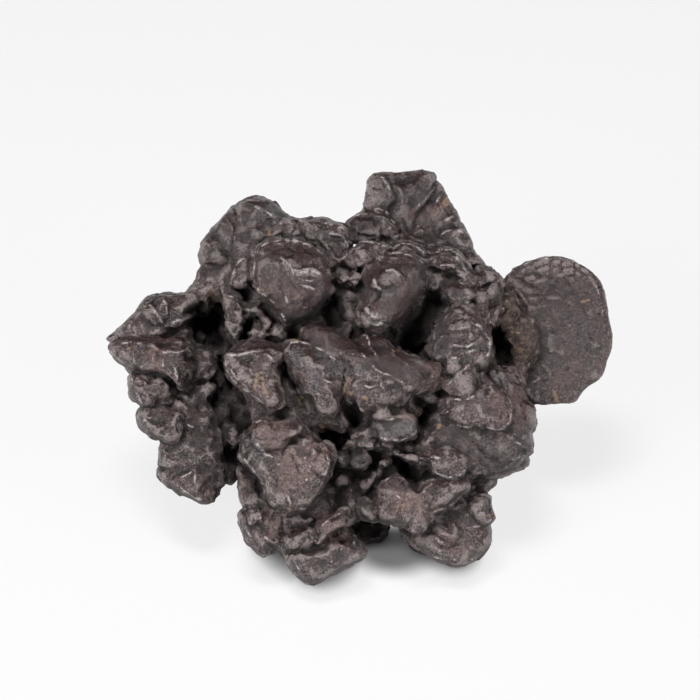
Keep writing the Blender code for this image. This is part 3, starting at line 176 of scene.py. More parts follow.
CROWN = (
    Knob("crown_cap", -9, 8, 10, (
        (-20.6, 20), (-20, 21.4), (-18.4, 22.9), (-16.2, 24.2), (-13.8, 24.3), (-11.8, 23.4), (-10.2, 22),
        (-8.7, 20.7), (-10.5, 20.2), (-13, 19.4), (-16, 18.8), (-18.8, 18.6))),
    Knob("crown_cheek", -7, 7, 10, (
        (-22.4, 19), (-21, 20.9), (-19.4, 21.8), (-18.2, 20.8), (-17.2, 18.6), (-17.4, 16.2), (-19, 15.2),
        (-21, 16.6))),
    Knob("crown_side", -5, 6, 10, (
        (-24.2, 14.4), (-24.1, 16.4), (-23.3, 18.2), (-21.6, 19.2), (-20, 18), (-19.2, 15.6), (-19.4, 13.4),
        (-21, 12.4), (-23, 12.6))),
    Knob("crown_side_bump", -2, 4, 6, (
        (-22.8, 15), (-21.8, 16.4), (-20.4, 16.2), (-19.5, 15.2), (-19.8, 14), (-21.2, 13.5), (-22.6, 14))),
    Knob("crown_low", -6, 6, 9, (
        (-24.1, 13.4), (-21.5, 13.2), (-19.5, 12.6), (-19.2, 10.8), (-21, 9.4), (-23.5, 8.6), (-26, 8.8),
        (-25, 11))),
    Knob("crown_nick", -3, 4, 8, (
        (-19, 17.4), (-17.6, 18.2), (-15.6, 17.6), (-14.8, 16.2), (-16.2, 15), (-18.4, 15.2))),
    Knob("crown_left_pebble", -3, 4, 8, (
        (-16, 19.6), (-14.8, 20.2), (-13.6, 19.4), (-13.6, 17.8), (-15, 17.2), (-16.2, 18.2))),
    Knob("crown_right_pebble", -2, 4, 8, (
        (-12.9, 19.2), (-11.8, 19.9), (-10.6, 19.4), (-10.5, 18), (-11.8, 17.3), (-12.9, 17.9))),
    Knob("crown_step", -5, 5, 8, (
        (-12.4, 20.2), (-11.6, 21.1), (-9.4, 21.2), (-7.4, 20.7), (-6, 20), (-7.6, 19.2), (-10, 19.6))),
    Knob("crown_saddle", -4, 5, 9, (
        (-10.4, 19.6), (-8, 19.8), (-6.6, 18.6), (-7, 17), (-9.4, 17), (-10.8, 18))),
    Knob("crown_bridge", -6, 9, 10, (
        (-8.4, 20.4), (-6.4, 21.2), (-4, 21.2), (-2, 20.5), (-0.4, 19.6), (-0.6, 17.4), (-3, 16.4),
        (-6, 16.4), (-7.6, 18))),
    Knob("crown_shell", -2, 7, 10, (
        (-5.4, 17), (-3.8, 18.6), (-1.8, 18.4), (-0.2, 17), (0.2, 15), (-0.8, 13.4), (-2.8, 12.8),
        (-4.6, 14))),
    Knob("brow_cheek", 1, 5, 9, (
        (-19.2, 11.4), (-18.6, 13.4), (-17.2, 14.7), (-15.6, 14.6), (-14.8, 12.6), (-15.4, 10.4),
        (-17.2, 9.8), (-18.8, 10.2))),
    Knob("pocket_pillar", 2, 5, 12, (
        (-20.7, 9.6), (-19.4, 10.2), (-17.8, 8.8), (-17.2, 6), (-17.2, 2.6), (-18.4, 0.8), (-19.6, 2.5),
        (-19.9, 6))),
    Knob("pocket_lintel", 2, 4, 9, (
        (-17.8, 7), (-16.6, 7.7), (-14.8, 7.4), (-13.4, 6.4), (-14.6, 5.2), (-16.8, 5))),
    Knob("pocket_roof", 0, 4, 9, (
        (-16, 9.6), (-13.6, 9.8), (-11.4, 8), (-10.6, 6), (-12.2, 6), (-14.4, 7.4))),
    Knob("left_crystal", 3, 4, 8, (
        (-14.3, 4.4), (-13.9, 5.7), (-12.6, 5.6), (-12.1, 4.6), (-12.7, 3.3), (-13.9, 3.1))),
    Knob("right_crystal", 4, 4, 9, (
        (-12.6, 2.6), (-11.6, 4.2), (-10.4, 4.7), (-9.7, 3.8), (-9.9, 2.2), (-10.8, 1.5), (-12, 1.9))),
    Knob("low_crystal", 4, 3, 8, (
        (-16.5, 2.4), (-15.9, 3.6), (-14.4, 3.6), (-13.2, 3.1), (-12.6, 2.3), (-13.8, 1.8), (-15.2, 2))),
    Knob("brow_boulder", 4, 8, 12, (
        (-15.5, 12.2), (-15.1, 14.8), (-14.3, 16.6), (-12.8, 17.4), (-10.4, 17.7), (-8, 17.4), (-5.8, 16.4),
        (-4, 15), (-2.9, 13), (-2.6, 10.6), (-3.4, 8), (-5.2, 6), (-7.4, 4.8), (-9.6, 4.2), (-10.9, 5),
        (-12.2, 7.4), (-14, 9), (-15.2, 10.4))),
)

BACK_PEAK = (
    Knob("peak_block", -15, 5, 8, (
        (1.4, 20), (2.4, 23.4), (2.8, 26), (3.2, 27.7), (4.8, 28.1), (8, 28.5), (11, 28.7), (12.9, 28.5),
        (13.5, 27.8), (13.2, 26.4), (12.4, 24.6), (11, 22), (10, 19), (8, 16), (2, 16))),
    Knob("peak_lit_side", -11, 3, 7, (
        (2.3, 22.8), (2.7, 25.2), (3.4, 27), (4.8, 27.4), (6.2, 26.2), (7.2, 24.4), (6.2, 22.8),
        (4, 22.4))),
    Knob("peak_slope", -16, 5, 8, (
        (13.2, 26.6), (14, 26.6), (15, 25.4), (15.8, 24), (16.2, 23), (17, 21.8), (18.2, 19.4),
        (19.6, 16.4), (21, 14), (21.8, 12.8), (18, 11), (12, 12), (9.5, 17), (10, 21), (12, 24))),
    Knob("peak_saddle", -9, 5, 9, (
        (-0.7, 19.9), (0.6, 21.4), (2.4, 22), (4, 21.8), (4.9, 20), (5.2, 18), (3.4, 17.2), (0.8, 17.4))),
    Knob("peak_arch", -10, 5, 9, (
        (3.3, 21.8), (4.2, 22.6), (5.6, 22.3), (6.8, 21), (7.9, 19.4), (7.2, 17.8), (5.4, 17.6),
        (4.2, 19.6))),
    Knob("peak_pebble", -9, 4, 8, (
        (9.9, 18), (10.1, 19.3), (10.9, 20), (11.7, 19.2), (12.2, 17.9), (11.1, 17.1))),
    Knob("far_ledge", -12, 4, 8, (
        (13.8, 17.6), (15.6, 19.2), (17.4, 19.6), (18.8, 18.6), (19.8, 16.8), (19, 15.4), (16, 16))),
    Knob("far_low_ledge", -11, 4, 8, (
        (17.8, 15), (19.6, 15.6), (21.3, 14.4), (21.6, 13.4), (20, 13), (18.2, 13.4))),
    Knob("peak_apron", -9, 7, 9, (
        (6.5, 18.5), (9, 18.2), (12.6, 18.4), (16, 17), (18.4, 15.2), (18, 12), (12, 12), (7, 14))),
)

CENTRE = (
    Knob("knob", 4, 9, 13, (
        (1.2, 4), (1.2, 5.8), (2.1, 7.6), (2.5, 9.4), (2.3, 11), (2.4, 12.8), (3.6, 14), (5.6, 15),
        (8, 15.4), (10, 15), (11.6, 14), (12.3, 12.4), (12.3, 10.4), (11.2, 8.7), (10, 7.2), (9, 5.6),
        (7.6, 4), (6, 3), (4, 2.6), (2.2, 3))),
    Knob("knob_boss", 10, 3.4, 6, (
        (4.4, 11.6), (5.2, 12.8), (6.6, 13.3), (7.9, 12.6), (8.4, 11.4), (8.2, 10.4), (6.6, 10.1),
        (5.1, 9.7), (4.5, 10.5))),
    Knob("knob_lip", 9.5, 3.5, 6, (
        (1.5, 4.6), (2, 6.3), (2.8, 7), (4, 6.7), (5.4, 6.2), (6, 4.8), (4.8, 3.7), (3, 3.3))),
    Knob("knob_collar", 1, 6, 9, (
        (-0.6, 14.2), (0, 16), (1.6, 17.2), (4, 17.1), (6.2, 16.4), (6.2, 15.2), (4.6, 14.2),
        (2.6, 13.2), (0.8, 12.8))),
    Knob("knob_back", -2, 6, 9, (
        (6, 15.6), (7.6, 16.9), (9.6, 16.9), (11.2, 16), (12.8, 14.8), (12.6, 12.6), (10, 13), (7, 14))),
    Knob("knob_left_dome", 3, 4, 9, (
        (-2.4, 11.6), (-1.8, 12.7), (-0.6, 12.7), (0.2, 11.6), (-0.3, 10.3), (-1.7, 10.3))),
    Knob("knob_near_dome", 3, 4, 9, (
        (0.1, 11.8), (0.9, 12.7), (1.9, 11.9), (2, 10.8), (1.1, 10.1), (0.2, 10.5))),
    Knob("knob_left_column", 1, 4, 9, (
        (-1.9, 10.4), (1.6, 10.4), (1.8, 8.4), (0.7, 7.4), (-1, 7.8), (-2, 9))),
    Knob("pocket_wall", -1, 4, 9, (
        (-0.8, 7.6), (0.8, 8), (2, 6.5), (1.4, 4.2), (0.8, 2.8), (-0.2, 4), (-0.9, 5.8))),
    Knob("pocket_bead", 6, 3, 7, (
        (-1.2, 3), (-0.8, 4), (0.1, 4.1), (0.8, 3.2), (0.6, 2.1), (-0.4, 1.8), (-1.1, 2.2))),
    Knob("ledge", 8, 9, 14, (
        (-8.2, 2.2), (-7.4, 3.8), (-4.6, 3.9), (-1.6, 2.4), (0.8, 1.4), (1.8, 2.4), (3.6, 2.3), (5.6, 1.6),
        (7.8, -0.2), (10, -0.9), (12.4, -1.7), (14.4, -2.6), (14.7, -5), (13, -6.6), (10.4, -7.1),
        (8.8, -8.1), (6.8, -9.4), (4.6, -9.9), (2.4, -9.8), (0.4, -8.6), (-1, -7.4), (-2, -4.4),
        (-4.4, -1), (-6.6, 0.4))),
    Knob("ledge_front_left", 12.5, 4.6, 8, (
        (0, -2.6), (1.4, -1.4), (3.2, -1.6), (4.9, -3.2), (5.3, -5.2), (4.5, -6.1), (2.6, -6), (1, -5),
        (0.2, -3.9))),
    Knob("ledge_front_right", 12, 4.6, 8, (
        (5.4, -4.4), (6.4, -3.6), (8, -4.8), (10.4, -5.9), (10.9, -6.4), (8.4, -6.7), (6.2, -6.4))),
    Knob("grey_tooth", 10, 8, 14, (
        (-10.7, -0.6), (-10, 0.9), (-8.6, 1.7), (-7, 1.4), (-5, 0.4), (-3.4, -0.7), (-1.6, -2.1),
        (-0.6, -3), (-1, -4.6), (-1.4, -6.6), (-1.6, -9), (-2.4, -10.6), (-4, -11), (-5.5, -9.9),
        (-6.6, -7.6), (-8, -5.4), (-9.6, -3.4))),
    Knob("left_tooth", 9, 8, 13, (
        (-20.3, -1.3), (-19.5, -0.2), (-17.8, 1), (-15.8, 2), (-13.6, 1.8), (-11.6, 0.7), (-10.8, -0.6),
        (-10.9, -2.4), (-10.9, -4.6), (-10.6, -7), (-11, -9.4), (-12.6, -10), (-14.4, -8.8),
        (-16, -7.4), (-17.6, -6.3), (-18.9, -4.9), (-19.9, -3.3))),
    Knob("centre_nut", 9, 7, 10, (
        (3.6, -10.6), (4.4, -9.4), (6, -9), (8.4, -9.2), (10.2, -10.2), (11, -11.8), (10.4, -13.4),
        (8.8, -14.3), (7, -14.9), (5.2, -14.9), (4, -13.8), (3.5, -12.2))),
    Knob("centre_nut_cap", 14, 2.6, 6, (
        (3.9, -10.4), (4.4, -9.5), (5.8, -9.2), (6.8, -9.6), (6.9, -10.6), (5.6, -11.3), (4.2, -11.3))),
    Knob("centre_wedge", 7, 6, 8, (
        (0.4, -14.2), (1.4, -12), (2.8, -10.6), (3.8, -11.6), (4.2, -14.2), (2.6, -15))),
    Knob("centre_web", 8, 5, 8, (
        (-1.6, -15.6), (0.6, -14.6), (3.4, -14.2), (5, -15), (6.8, -15.1), (6.6, -16), (4, -16),
        (1, -15.9), (-1, -16.2))),
    Knob("web_slope", 4, 6, 8, (
        (0, -15.6), (0.6, -13.8), (4, -14.2), (7.4, -14.2), (10.6, -13.6), (12.4, -15),
        (12.8, -17.4), (10.6, -18),
        (8, -17.3), (5, -16.8), (2, -16.4))),
    Knob("centre_low_nut", 8, 7, 11, (
        (6.4, -16.2), (8.4, -16.4), (10.4, -16.6), (12, -15.7), (13.8, -15), (16, -15.2), (17.8, -16),
        (19, -17.4), (19, -19), (18, -20.3), (16.4, -20.8), (14.4, -20.3), (12.5, -19), (10.5, -18),
        (8.2, -17.3))),
    Knob("low_nut_horn", 7, 6, 9, (
        (11.7, -14), (12.2, -12.8), (13.3, -13.2), (13.7, -14.8), (12.8, -16), (11.6, -15.4))),
    Knob("low_nut_shoulder", 5, 7, 9, (
        (15.8, -14), (17.4, -13.4), (19, -14.4), (19.7, -16.4), (19.2, -18), (17.6, -16.6), (16, -15.4))),
    Knob("crack_bead", 6, 3, 7, (
        (13.3, -12.2), (13.8, -11.4), (14.6, -11.5), (14.9, -12.3), (14.2, -13), (13.5, -12.9))),
)

RIGHT_SIDE = (
    Knob("shoulder_fold", -1, 6, 9, (
        (11.8, 13.2), (12.4, 15.2), (14.4, 15.9), (16.4, 15.8), (17.8, 14.9), (18.6, 13), (20.4, 11),
        (19.6, 9.8), (17.4, 11.2), (15, 12.8))),
    Knob("shoulder_low", 3, 5, 9, (
        (15, 8.2), (15.4, 10.3), (17.2, 10.9), (19.2, 10), (19.8, 8.6), (18.6, 7.6), (16.4, 7.4))),
    Knob("shoulder_scrap", 0, 5, 9, (
        (12.4, 9.6), (12.8, 11.4), (14, 11.8), (15, 10.6), (14.8, 9), (13.4, 8.4))),
    Knob("shoulder_far", -5, 7, 9, (
        (19.6, 11.6), (20.2, 12.8), (21.8, 13.4), (23.2, 12.8), (24.5, 11.7), (25, 10.4), (23.6, 9.4),
        (21.4, 9.8))),
    Knob("shoulder_egg", 1, 3.4, 8, (
        (22.1, 9.2), (22.5, 10.3), (23.4, 10.5), (23.8, 9.4), (23.3, 8.3), (22.4, 8.4))),
    Knob("shoulder_strip", 1, 4, 9, (
        (19.8, 7.8), (20, 9.8), (21.4, 10.2), (21.8, 8.2), (22.3, 6.4), (22.6, 4.4), (21.9, 4),
        (21.2, 5.8), (20.4, 7))),
    Knob("far_strip", -1, 4, 8, (
        (22.2, 8), (23.2, 8.2), (24, 6.8), (23.8, 4.4), (23, 3.8), (22.4, 5))),
    Knob("ribbed_boulder", 4, 8, 12, (
        (13.6, 3.8), (15.2, 5.8), (17.2, 7.3), (19.6, 7.4), (20.8, 6.2), (21.4, 4.6), (22.2, 2.6),
        (22.8, 0.6), (22.7, -1.4), (21.4, -2.7), (19.4, -2.9), (17.4, -3.2), (15.6, -2.8), (13.4, -1.6),
        (12.2, 0), (12.8, 2))),
    Knob("ribbed_foot", 9, 3.6, 8, (
        (15.2, -2.2), (15.9, -0.8), (17.4, -0.9), (18.2, -2.2), (17.7, -3.4), (16.1, -4))),
    Knob("rimmed_boulder", 6, 8, 13, (
        (14, -10), (15, -9), (15.6, -6.8), (17.2, -4.6), (19.8, -3.4), (21.6, -3.7), (23, -5.3),
        (24.6, -6.6), (25.6, -8), (26, -10), (25.6, -11.9), (24, -13), (21.6, -12.7), (18.6, -12.5),
        (16.6, -11.7), (15, -10.9))),
    Knob("rimmed_brow", 10, 4.6, 8, (
        (15.2, -5.8), (16.6, -4.1), (18, -3), (19, -2), (20, -2.8), (20.5, -4.6), (20.3, -6.6),
        (19.5, -7.7), (18, -7.9), (16.2, -7.3))),
    Knob("ledge_bridge", 7, 5, 9, (
        (12.8, -2), (14, -2.2), (15.4, -3), (15.8, -5), (14.6, -6.4), (13, -6))),
    Knob("flank_shoulder", 3, 5, 9, (
        (20.9, -3.3), (22.6, -2.9), (24.7, -3.2), (25.4, -4.6), (24.2, -5.8), (22.6, -5))),
    Knob("flank_chip", 0, 4, 8, (
        (25.3, -3.4), (26.9, -3), (27.8, -4.4), (27.8, -5.8), (25.8, -5.6))),
    Knob("flank_top", 1, 7, 10, (
        (24, -6), (25, -5.2), (27.4, -5.6), (28.3, -8), (29.5, -9.6), (30, -11.4), (29.4, -13.2),
        (27.8, -12.8), (26, -11.6), (26, -9), (25, -7.2))),
    Knob("flank_middle", 2, 8, 10, (
        (20.2, -13.2), (22.4, -12.8), (24.6, -12.8), (26.6, -12), (28.6, -12.6), (29.4, -14),
        (29.4, -15.6), (28.9, -16.8), (26.6, -17.3), (24, -18), (21.8, -17.2), (20.2, -15.4))),
    Knob("flank_low", 1, 7, 10, (
        (19.6, -17), (22, -16.8), (24, -17.8), (26.4, -17.2), (28.4, -17), (28.7, -18.2), (27.4, -19.2),
        (25.4, -20), (23.4, -20.6), (21.2, -20.9), (19.4, -20.6), (19, -18.6))),
    Knob("flank_bead", 7, 3, 8, (
        (19.2, -13.2), (19.8, -12.6), (20.7, -12.9), (20.7, -14), (19.8, -14.2))),
)

DISC = (
    Knob("disc", -9, 3.2, 3.6, (
        (24.8, 11.2), (26, 12.6), (27.5, 13.6), (29.5, 14.4), (31.7, 15), (33.7, 14.9), (36, 14.1),
        (38, 13.1), (39.5, 11.8), (40.6, 10), (41.1, 7.5), (41.6, 4.5), (42, 2), (41.8, -0.4), (41.1, -2),
        (40.7, -3.7), (39.6, -5), (38, -5.9), (36.8, -7.4), (36, -8.4), (34, -8.6), (31.2, -8.9),
        (28.8, -8.2), (27, -6), (26, 0), (25, 6))),
    Knob("disc_root", -6, 4, 8, (
        (24.3, 9.4), (25.8, 8.8), (27.4, 6.4), (29.4, 4.6), (30.4, 2.4), (30.2, -0.4), (28.6, -2.8),
        (27.6, -5.4), (26, -3.6), (25.4, 0), (25, 4), (24.2, 7))),
)
# Earthy pebbles stuck between the disc and the stone: their places, how far they stand out, and their radii.
EARTHY_PEBBLES = (
    (25.3, 8, -2, 1), (26.2, 6, -2.4, 1.2), (25.2, 4.6, -2, 1.1), (27.4, 4.4, -3, 1), (26.2, 2.8, -2.2, 1),
    (28.4, 2.8, -3.6, 1.1), (25.6, 1.4, -2.4, 1), (27.2, 0.8, -3, 1.2), (29.4, 0.8, -4, 0.9),
    (26.4, -0.8, -2.6, 1), (28.2, -1.4, -3.4, 1), (27, -3, -2.6, 1.1), (29, 4.4, -4, 0.8))

LOWER_PART = (
    Knob("front_boulder", 11, 8, 14, (
        (-17.7, -15.8), (-17.1, -14), (-15.6, -12.6), (-14.5, -11.1), (-12.6, -10.5), (-10.4, -10.6),
        (-8.4, -10.6), (-7, -11.8), (-6.4, -13.4), (-4, -14.5), (-2.2, -15.7), (-2, -17), (-2.8, -18.8),
        (-3.3, -20.6), (-4.6, -22.6), (-5.6, -24.2), (-6.4, -25.2), (-8.4, -25.6), (-10.4, -25.5),
        (-12.6, -24.6), (-13.9, -23), (-14.2, -21), (-15.2, -19.7), (-16.2, -18.4), (-17.4, -17.6))),
    Knob("boulder_brow", 15, 4.4, 8, (
        (-16, -13.4), (-14.7, -11.6), (-12.4, -11.1), (-9.4, -11.1), (-7.6, -12.2), (-8.2, -13.7),
        (-9.8, -14.6), (-10.8, -15.9), (-12.8, -16), (-14.8, -15.6), (-15.8, -14.6))),
    Knob("boulder_right_cheek", 15.5, 3, 8, (
        (-6.2, -14.4), (-4.4, -15), (-2.8, -16.2), (-3.4, -18.2), (-4, -20.2), (-6, -20), (-6.6, -17.6))),
    Knob("under_boulder", 7, 5, 9, (
        (-17.7, -19.2), (-16.4, -19), (-14.6, -20.6), (-14.2, -23), (-13, -24.8), (-14.6, -25.8),
        (-16.8, -25.6), (-17.7, -23.6), (-17.8, -21))),
    Knob("left_heel", 5, 8, 11, (
        (-18.2, -26.6), (-17.4, -25.4), (-15, -24.8), (-12.8, -24.8), (-11, -26), (-10.9, -28.4),
        (-11, -31), (-12.2, -32.4), (-13.9, -33.2), (-15.4, -32.1), (-17, -30.8), (-17.7, -28.8))),
    Knob("heel_block", 10.5, 3, 8, (
        (-16.5, -25.9), (-14.6, -25.6), (-14.2, -27.4), (-16.2, -28))),
    Knob("heel_nut", 10, 5, 8, (
        (-10.6, -28.6), (-9.4, -28), (-7, -28), (-5.5, -28.3), (-5, -29.5), (-5.4, -31), (-7.4, -31.8),
        (-9.6, -32.3), (-10.6, -31.2))),
    Knob("heel_ridge", 8, 5, 8, (
        (-10.4, -26.4), (-8, -25.8), (-5.6, -26.2), (-5, -27.6), (-7, -28), (-9.6, -28))),
    Knob("front_foot", 7, 8, 12, (
        (-10.8, -32.7), (-9.4, -32.2), (-7.4, -32), (-5, -31.4), (-3, -30.4), (-0.8, -29.8), (1, -30.1),
        (2.2, -31), (2.8, -32.6), (2.2, -33.6), (0, -34.6), (-2, -35.8), (-4.2, -37), (-6, -37.6),
        (-7.3, -37.3), (-9, -35.9), (-10.2, -34.4))),
    Knob("brown_slab", 11, 4.5, 9, (
        (-5.2, -27.8), (-3.6, -26.7), (-1.8, -25.6), (-0.2, -25.4), (0.5, -26.8), (0, -28.2),
        (-1.6, -28.7), (-2.8, -29.3), (-4.2, -30.7), (-5.4, -31.2), (-5.3, -29.4))),
    Knob("recess_knob", 4, 5, 7, (
        (-2.9, -20), (-1.8, -19.1), (-0.4, -19.5), (0.3, -21), (-0.4, -22), (-2, -22.3), (-2.9, -21.2))),
    Knob("recess_low_bead", 4, 4, 7, (
        (-2.6, -22.8), (-0.8, -22.2), (0.2, -23), (-0.8, -24), (-2.2, -23.9))),
    Knob("recess_top", 7, 4, 8, (
        (-2.2, -17.4), (-1.2, -16.1), (0, -16.5), (0, -18), (-1.4, -18.7))),
    Knob("recess_bead", 9, 3.6, 7, (
        (-0.1, -17.6), (0.4, -16.5), (1.5, -16), (2.7, -16.5), (3.1, -17.8), (2.4, -19), (1.3, -19.4),
        (0.2, -18.8))),
    Knob("recess_right_bead", 8, 3.4, 7, (
        (4.5, -17.8), (5.5, -17), (6.6, -17.1), (7, -18.2), (6.1, -19), (4.8, -18.9))),
    Knob("recess_plate", 6, 4, 8, (
        (1.6, -21), (3, -19.6), (4.6, -18.8), (5.4, -19.4), (4.6, -21), (3.6, -22.6), (2, -23))),
    Knob("recess_low_knob", 9, 4.6, 8, (
        (1.3, -24.6), (2.6, -23.6), (3.8, -24.2), (4.2, -25.6), (4, -27.2), (2.6, -27), (1.4, -26))),
    Knob("recess_bit", 7, 4, 8, (
        (-0.8, -24.6), (0.2, -23.8), (1, -24.8), (0.5, -25.8), (-0.4, -25.5))),
    Knob("recess_floor", 2, 6, 8, (
        (-6, -20), (0, -18), (8, -18), (12, -21), (8, -27), (0, -27), (-6, -26))),
    Knob("right_haunch", 8, 8, 13, (
        (4.4, -24), (4.6, -22.2), (5.6, -20.8), (6.8, -19.8), (8.2, -20), (9.4, -21), (10.6, -21.9),
        (12, -20.9), (13.6, -20.4), (16, -20.6), (18, -20.5), (19.4, -21.3), (19.2, -22.5), (18, -23.5),
        (16, -25), (13.8, -26.2), (12.8, -27.6), (12, -29), (10.4, -29.3), (8.6, -28.5), (6.6, -28),
        (5.2, -27.6), (4.5, -26))),
    Knob("haunch_lobe", 12, 4, 8, (
        (11.8, -24), (13, -21.6), (15.6, -20.9), (18.6, -21.2), (18.8, -22.3), (16.8, -23.9), (14.6, -25.2),
        (12.6, -26))),
    Knob("right_foot", 4, 8, 12, (
        (9.8, -29.8), (12, -29.2), (13, -27.8), (14.2, -26.8), (16, -25.8), (18, -26), (19.8, -27.2),
        (22.4, -28), (22.8, -29.8), (22.1, -31.8), (20.8, -33.3), (19, -34.3), (17, -34.8), (14.6, -34.3),
        (13, -33.5), (11.8, -32.6), (10.6, -31.2))),
    Knob("foot_scarp", 9, 3.4, 8, (
        (13.2, -28.2), (14.4, -27.2), (16.4, -27), (18, -27.8), (17.8, -29.6), (16.4, -30.7), (14.8, -30.5),
        (13.8, -29.6))),
    Knob("right_hip", 4, 7, 10, (
        (18.1, -24.8), (18.5, -23.6), (19.8, -22.7), (21.4, -22.3), (22.4, -23.4), (22.5, -25), (23, -26),
        (23.5, -26.9), (22.6, -27.9), (20.6, -28.4), (19, -28), (18.1, -26.6))),
    Knob("hip_top", -1, 6, 9, (
        (19.2, -20.4), (21.5, -20), (23.4, -20.3), (22.4, -22.2), (21.2, -23), (19.4, -22.8))),
    Knob("inner_foot", -5, 5, 9, (
        (-2, -27), (3, -26.5), (6.2, -27.6), (6.2, -29.4), (5, -30.6), (2.6, -30.8), (0, -30.4),
        (-2, -29.4))),
    Knob("right_foot_inside", -2, 5, 9, (
        (7.4, -27), (9.6, -28), (12.2, -30), (12.4, -32.8), (10.7, -32.5), (9.2, -30.9), (8.1, -29.2))),
)

# The masses that the knobs stand out from. They fill the gaps up to a few millimetres below the knobs.
MASSES = (
    Knob("wing_mass", -2, 7, 6, (
        (-37, 0), (-34.5, 5), (-31, 8), (-26, 8.2), (-25, 4), (-24.7, 1), (-22.5, -1),
        (-21.8, -8), (-20.5, -12),
        (-20, -20), (-23, -23), (-28, -21.5), (-29.5, -17), (-30, -13), (-33, -10), (-34.5, -5))),
    Knob("crown_mass", -8, 9, 8, (
        (-24, 13), (-23.5, 17), (-20, 21), (-16, 23.8), (-12, 22.3), (-8, 20), (-3, 20), (0, 18), (1, 14),
        (-3, 12), (-13, 12), (-18, 8), (-25, 8.5))),
    Knob("middle_mass", -4.5, 9, 9, (
        (-15, 14), (-10, 17), (-2, 16), (4, 17), (10, 16.5), (17, 15.6), (20, 12.5), (23.5, 12), (24.5, 8),
        (21, 4), (12, 1), (0, 0), (-12, 0), (-19, 4), (-19, 9))),
    Knob("ledge_mass", 2.5, 9, 8, (
        (-18.5, 0), (-10, 2), (-4, 3.4), (4, 2.4), (10, -0.5), (15, -3.5), (16, -7), (12, -10),
        (4, -12), (-2, -13),
        (-10, -13), (-15, -12), (-17.5, -5))),
    Knob("right_mass", -1, 11, 9, (
        (13, 8), (15.5, 13), (20, 12.4), (22, 8), (22.6, 3), (22.6, -2), (26.5, -3.6), (28.6, -9),
        (28.6, -15),
        (27, -18.6), (22, -20.2), (19, -20.8), (15, -20), (10, -17), (12, -10), (13, -4), (13.6, 2))),
    Knob("lower_left_mass", 3, 9, 9, (
        (-17, -13), (-10, -11), (-3, -15), (-3, -21), (-1, -26), (0.6, -31), (-3, -35), (-9, -34),
        (-13, -31.8),
        (-16.6, -29.5), (-16.6, -24), (-17.2, -18))),
    Knob("lower_right_mass", 2, 9, 9, (
        (5, -21), (10, -19.5), (19, -21), (21.5, -24), (21.8, -30), (19.5, -33.3), (15, -33.6), (11.4, -31),
        (8.4, -28), (5.2, -26.2))),
    Knob("recess_mass", 1, 7, 8, (
        (-6, -14), (2, -12), (10, -14), (13, -20), (10, -25), (5, -26), (0, -25.5), (-6, -24))),
    Knob("peak_mass", -15, 5, 8, (
        (2.5, 16), (4, 24), (11, 26), (15, 21), (19, 13.5), (14, 9), (3, 9))),
    Knob("disc_neck", -9, 5, 6, (
        (19, 9), (25, 10.5), (28, 6), (28.5, -3), (24, -7), (20, -4), (18, 3))),
    Knob("wing_bridge", -9, 6, 8, (
        (-28, 1), (-27, 8), (-18, 8), (-15, -4), (-15, -18), (-19.5, -20.3), (-23, -16), (-24, -6))),
    Knob("body_mass", -6.5, 8, 9, (
        (-19, 8), (-17, 14), (-16, 19), (-10, 18), (-4, 17), (2, 15), (8, 14), (16, 12), (21, 9),
        (23, 0), (26, -8),
        (25, -16), (20, -19), (19, -27), (13, -28), (9, -24), (2, -24.5), (-3, -29), (-7, -32), (-12, -30),
        (-15, -25), (-15, -18), (-16, -10), (-18, -2))),
)

# The knobs of the sides that the front view hides: a spiral of directions over the stone's inside.
HIDDEN_SEED = 11
HIDDEN_CENTRE = (1.5, 7.5, 21.0)
HIDDEN_RADII = (22.0, 17.0, 15.0)
HIDDEN_COUNT = 120
HIDDEN_SIZES = (3.2, 6.6)
BACK_FEET = ((-12, 14, 7.5), (14, 17, 8))

# The deep gaps: how much deeper they are than the CAD model's, their width from the middle line, and points along it.
Well = namedtuple("Well", "depth width points")

WELLS = (
    Well(3.5, 1.7, ((13.6, 7.2), (11.8, 4.2), (10.0, 1.4))),
    Well(3.0, 1.3, ((-3.0, 7.2), (-1.6, 4.8))),
    Well(3.0, 0.9, ((23.5, 3.4), (24.0, 0.4), (24.8, -2.2))),
    Well(3.0, 1.5, ((-24.6, 6.2), (-22.6, 4.6), (-21.6, 1.4))),
    Well(3.0, 0.9, ((-21.0, -2.0), (-19.8, -6.2))),
    Well(3.0, 1.0, ((0.2, -9.4), (1.0, -11.8))),
    Well(3.0, 0.9, ((8.6, -18.8), (10.2, -19.6))),
    Well(2.0, 0.8, ((11.0, -8.4), (13.0, -9.4))),
    Well(0.8, 0.5, ((-16.9, 5.6), (-16.6, 4.2))),
)

Stroke = namedtuple("Stroke", "height width points")

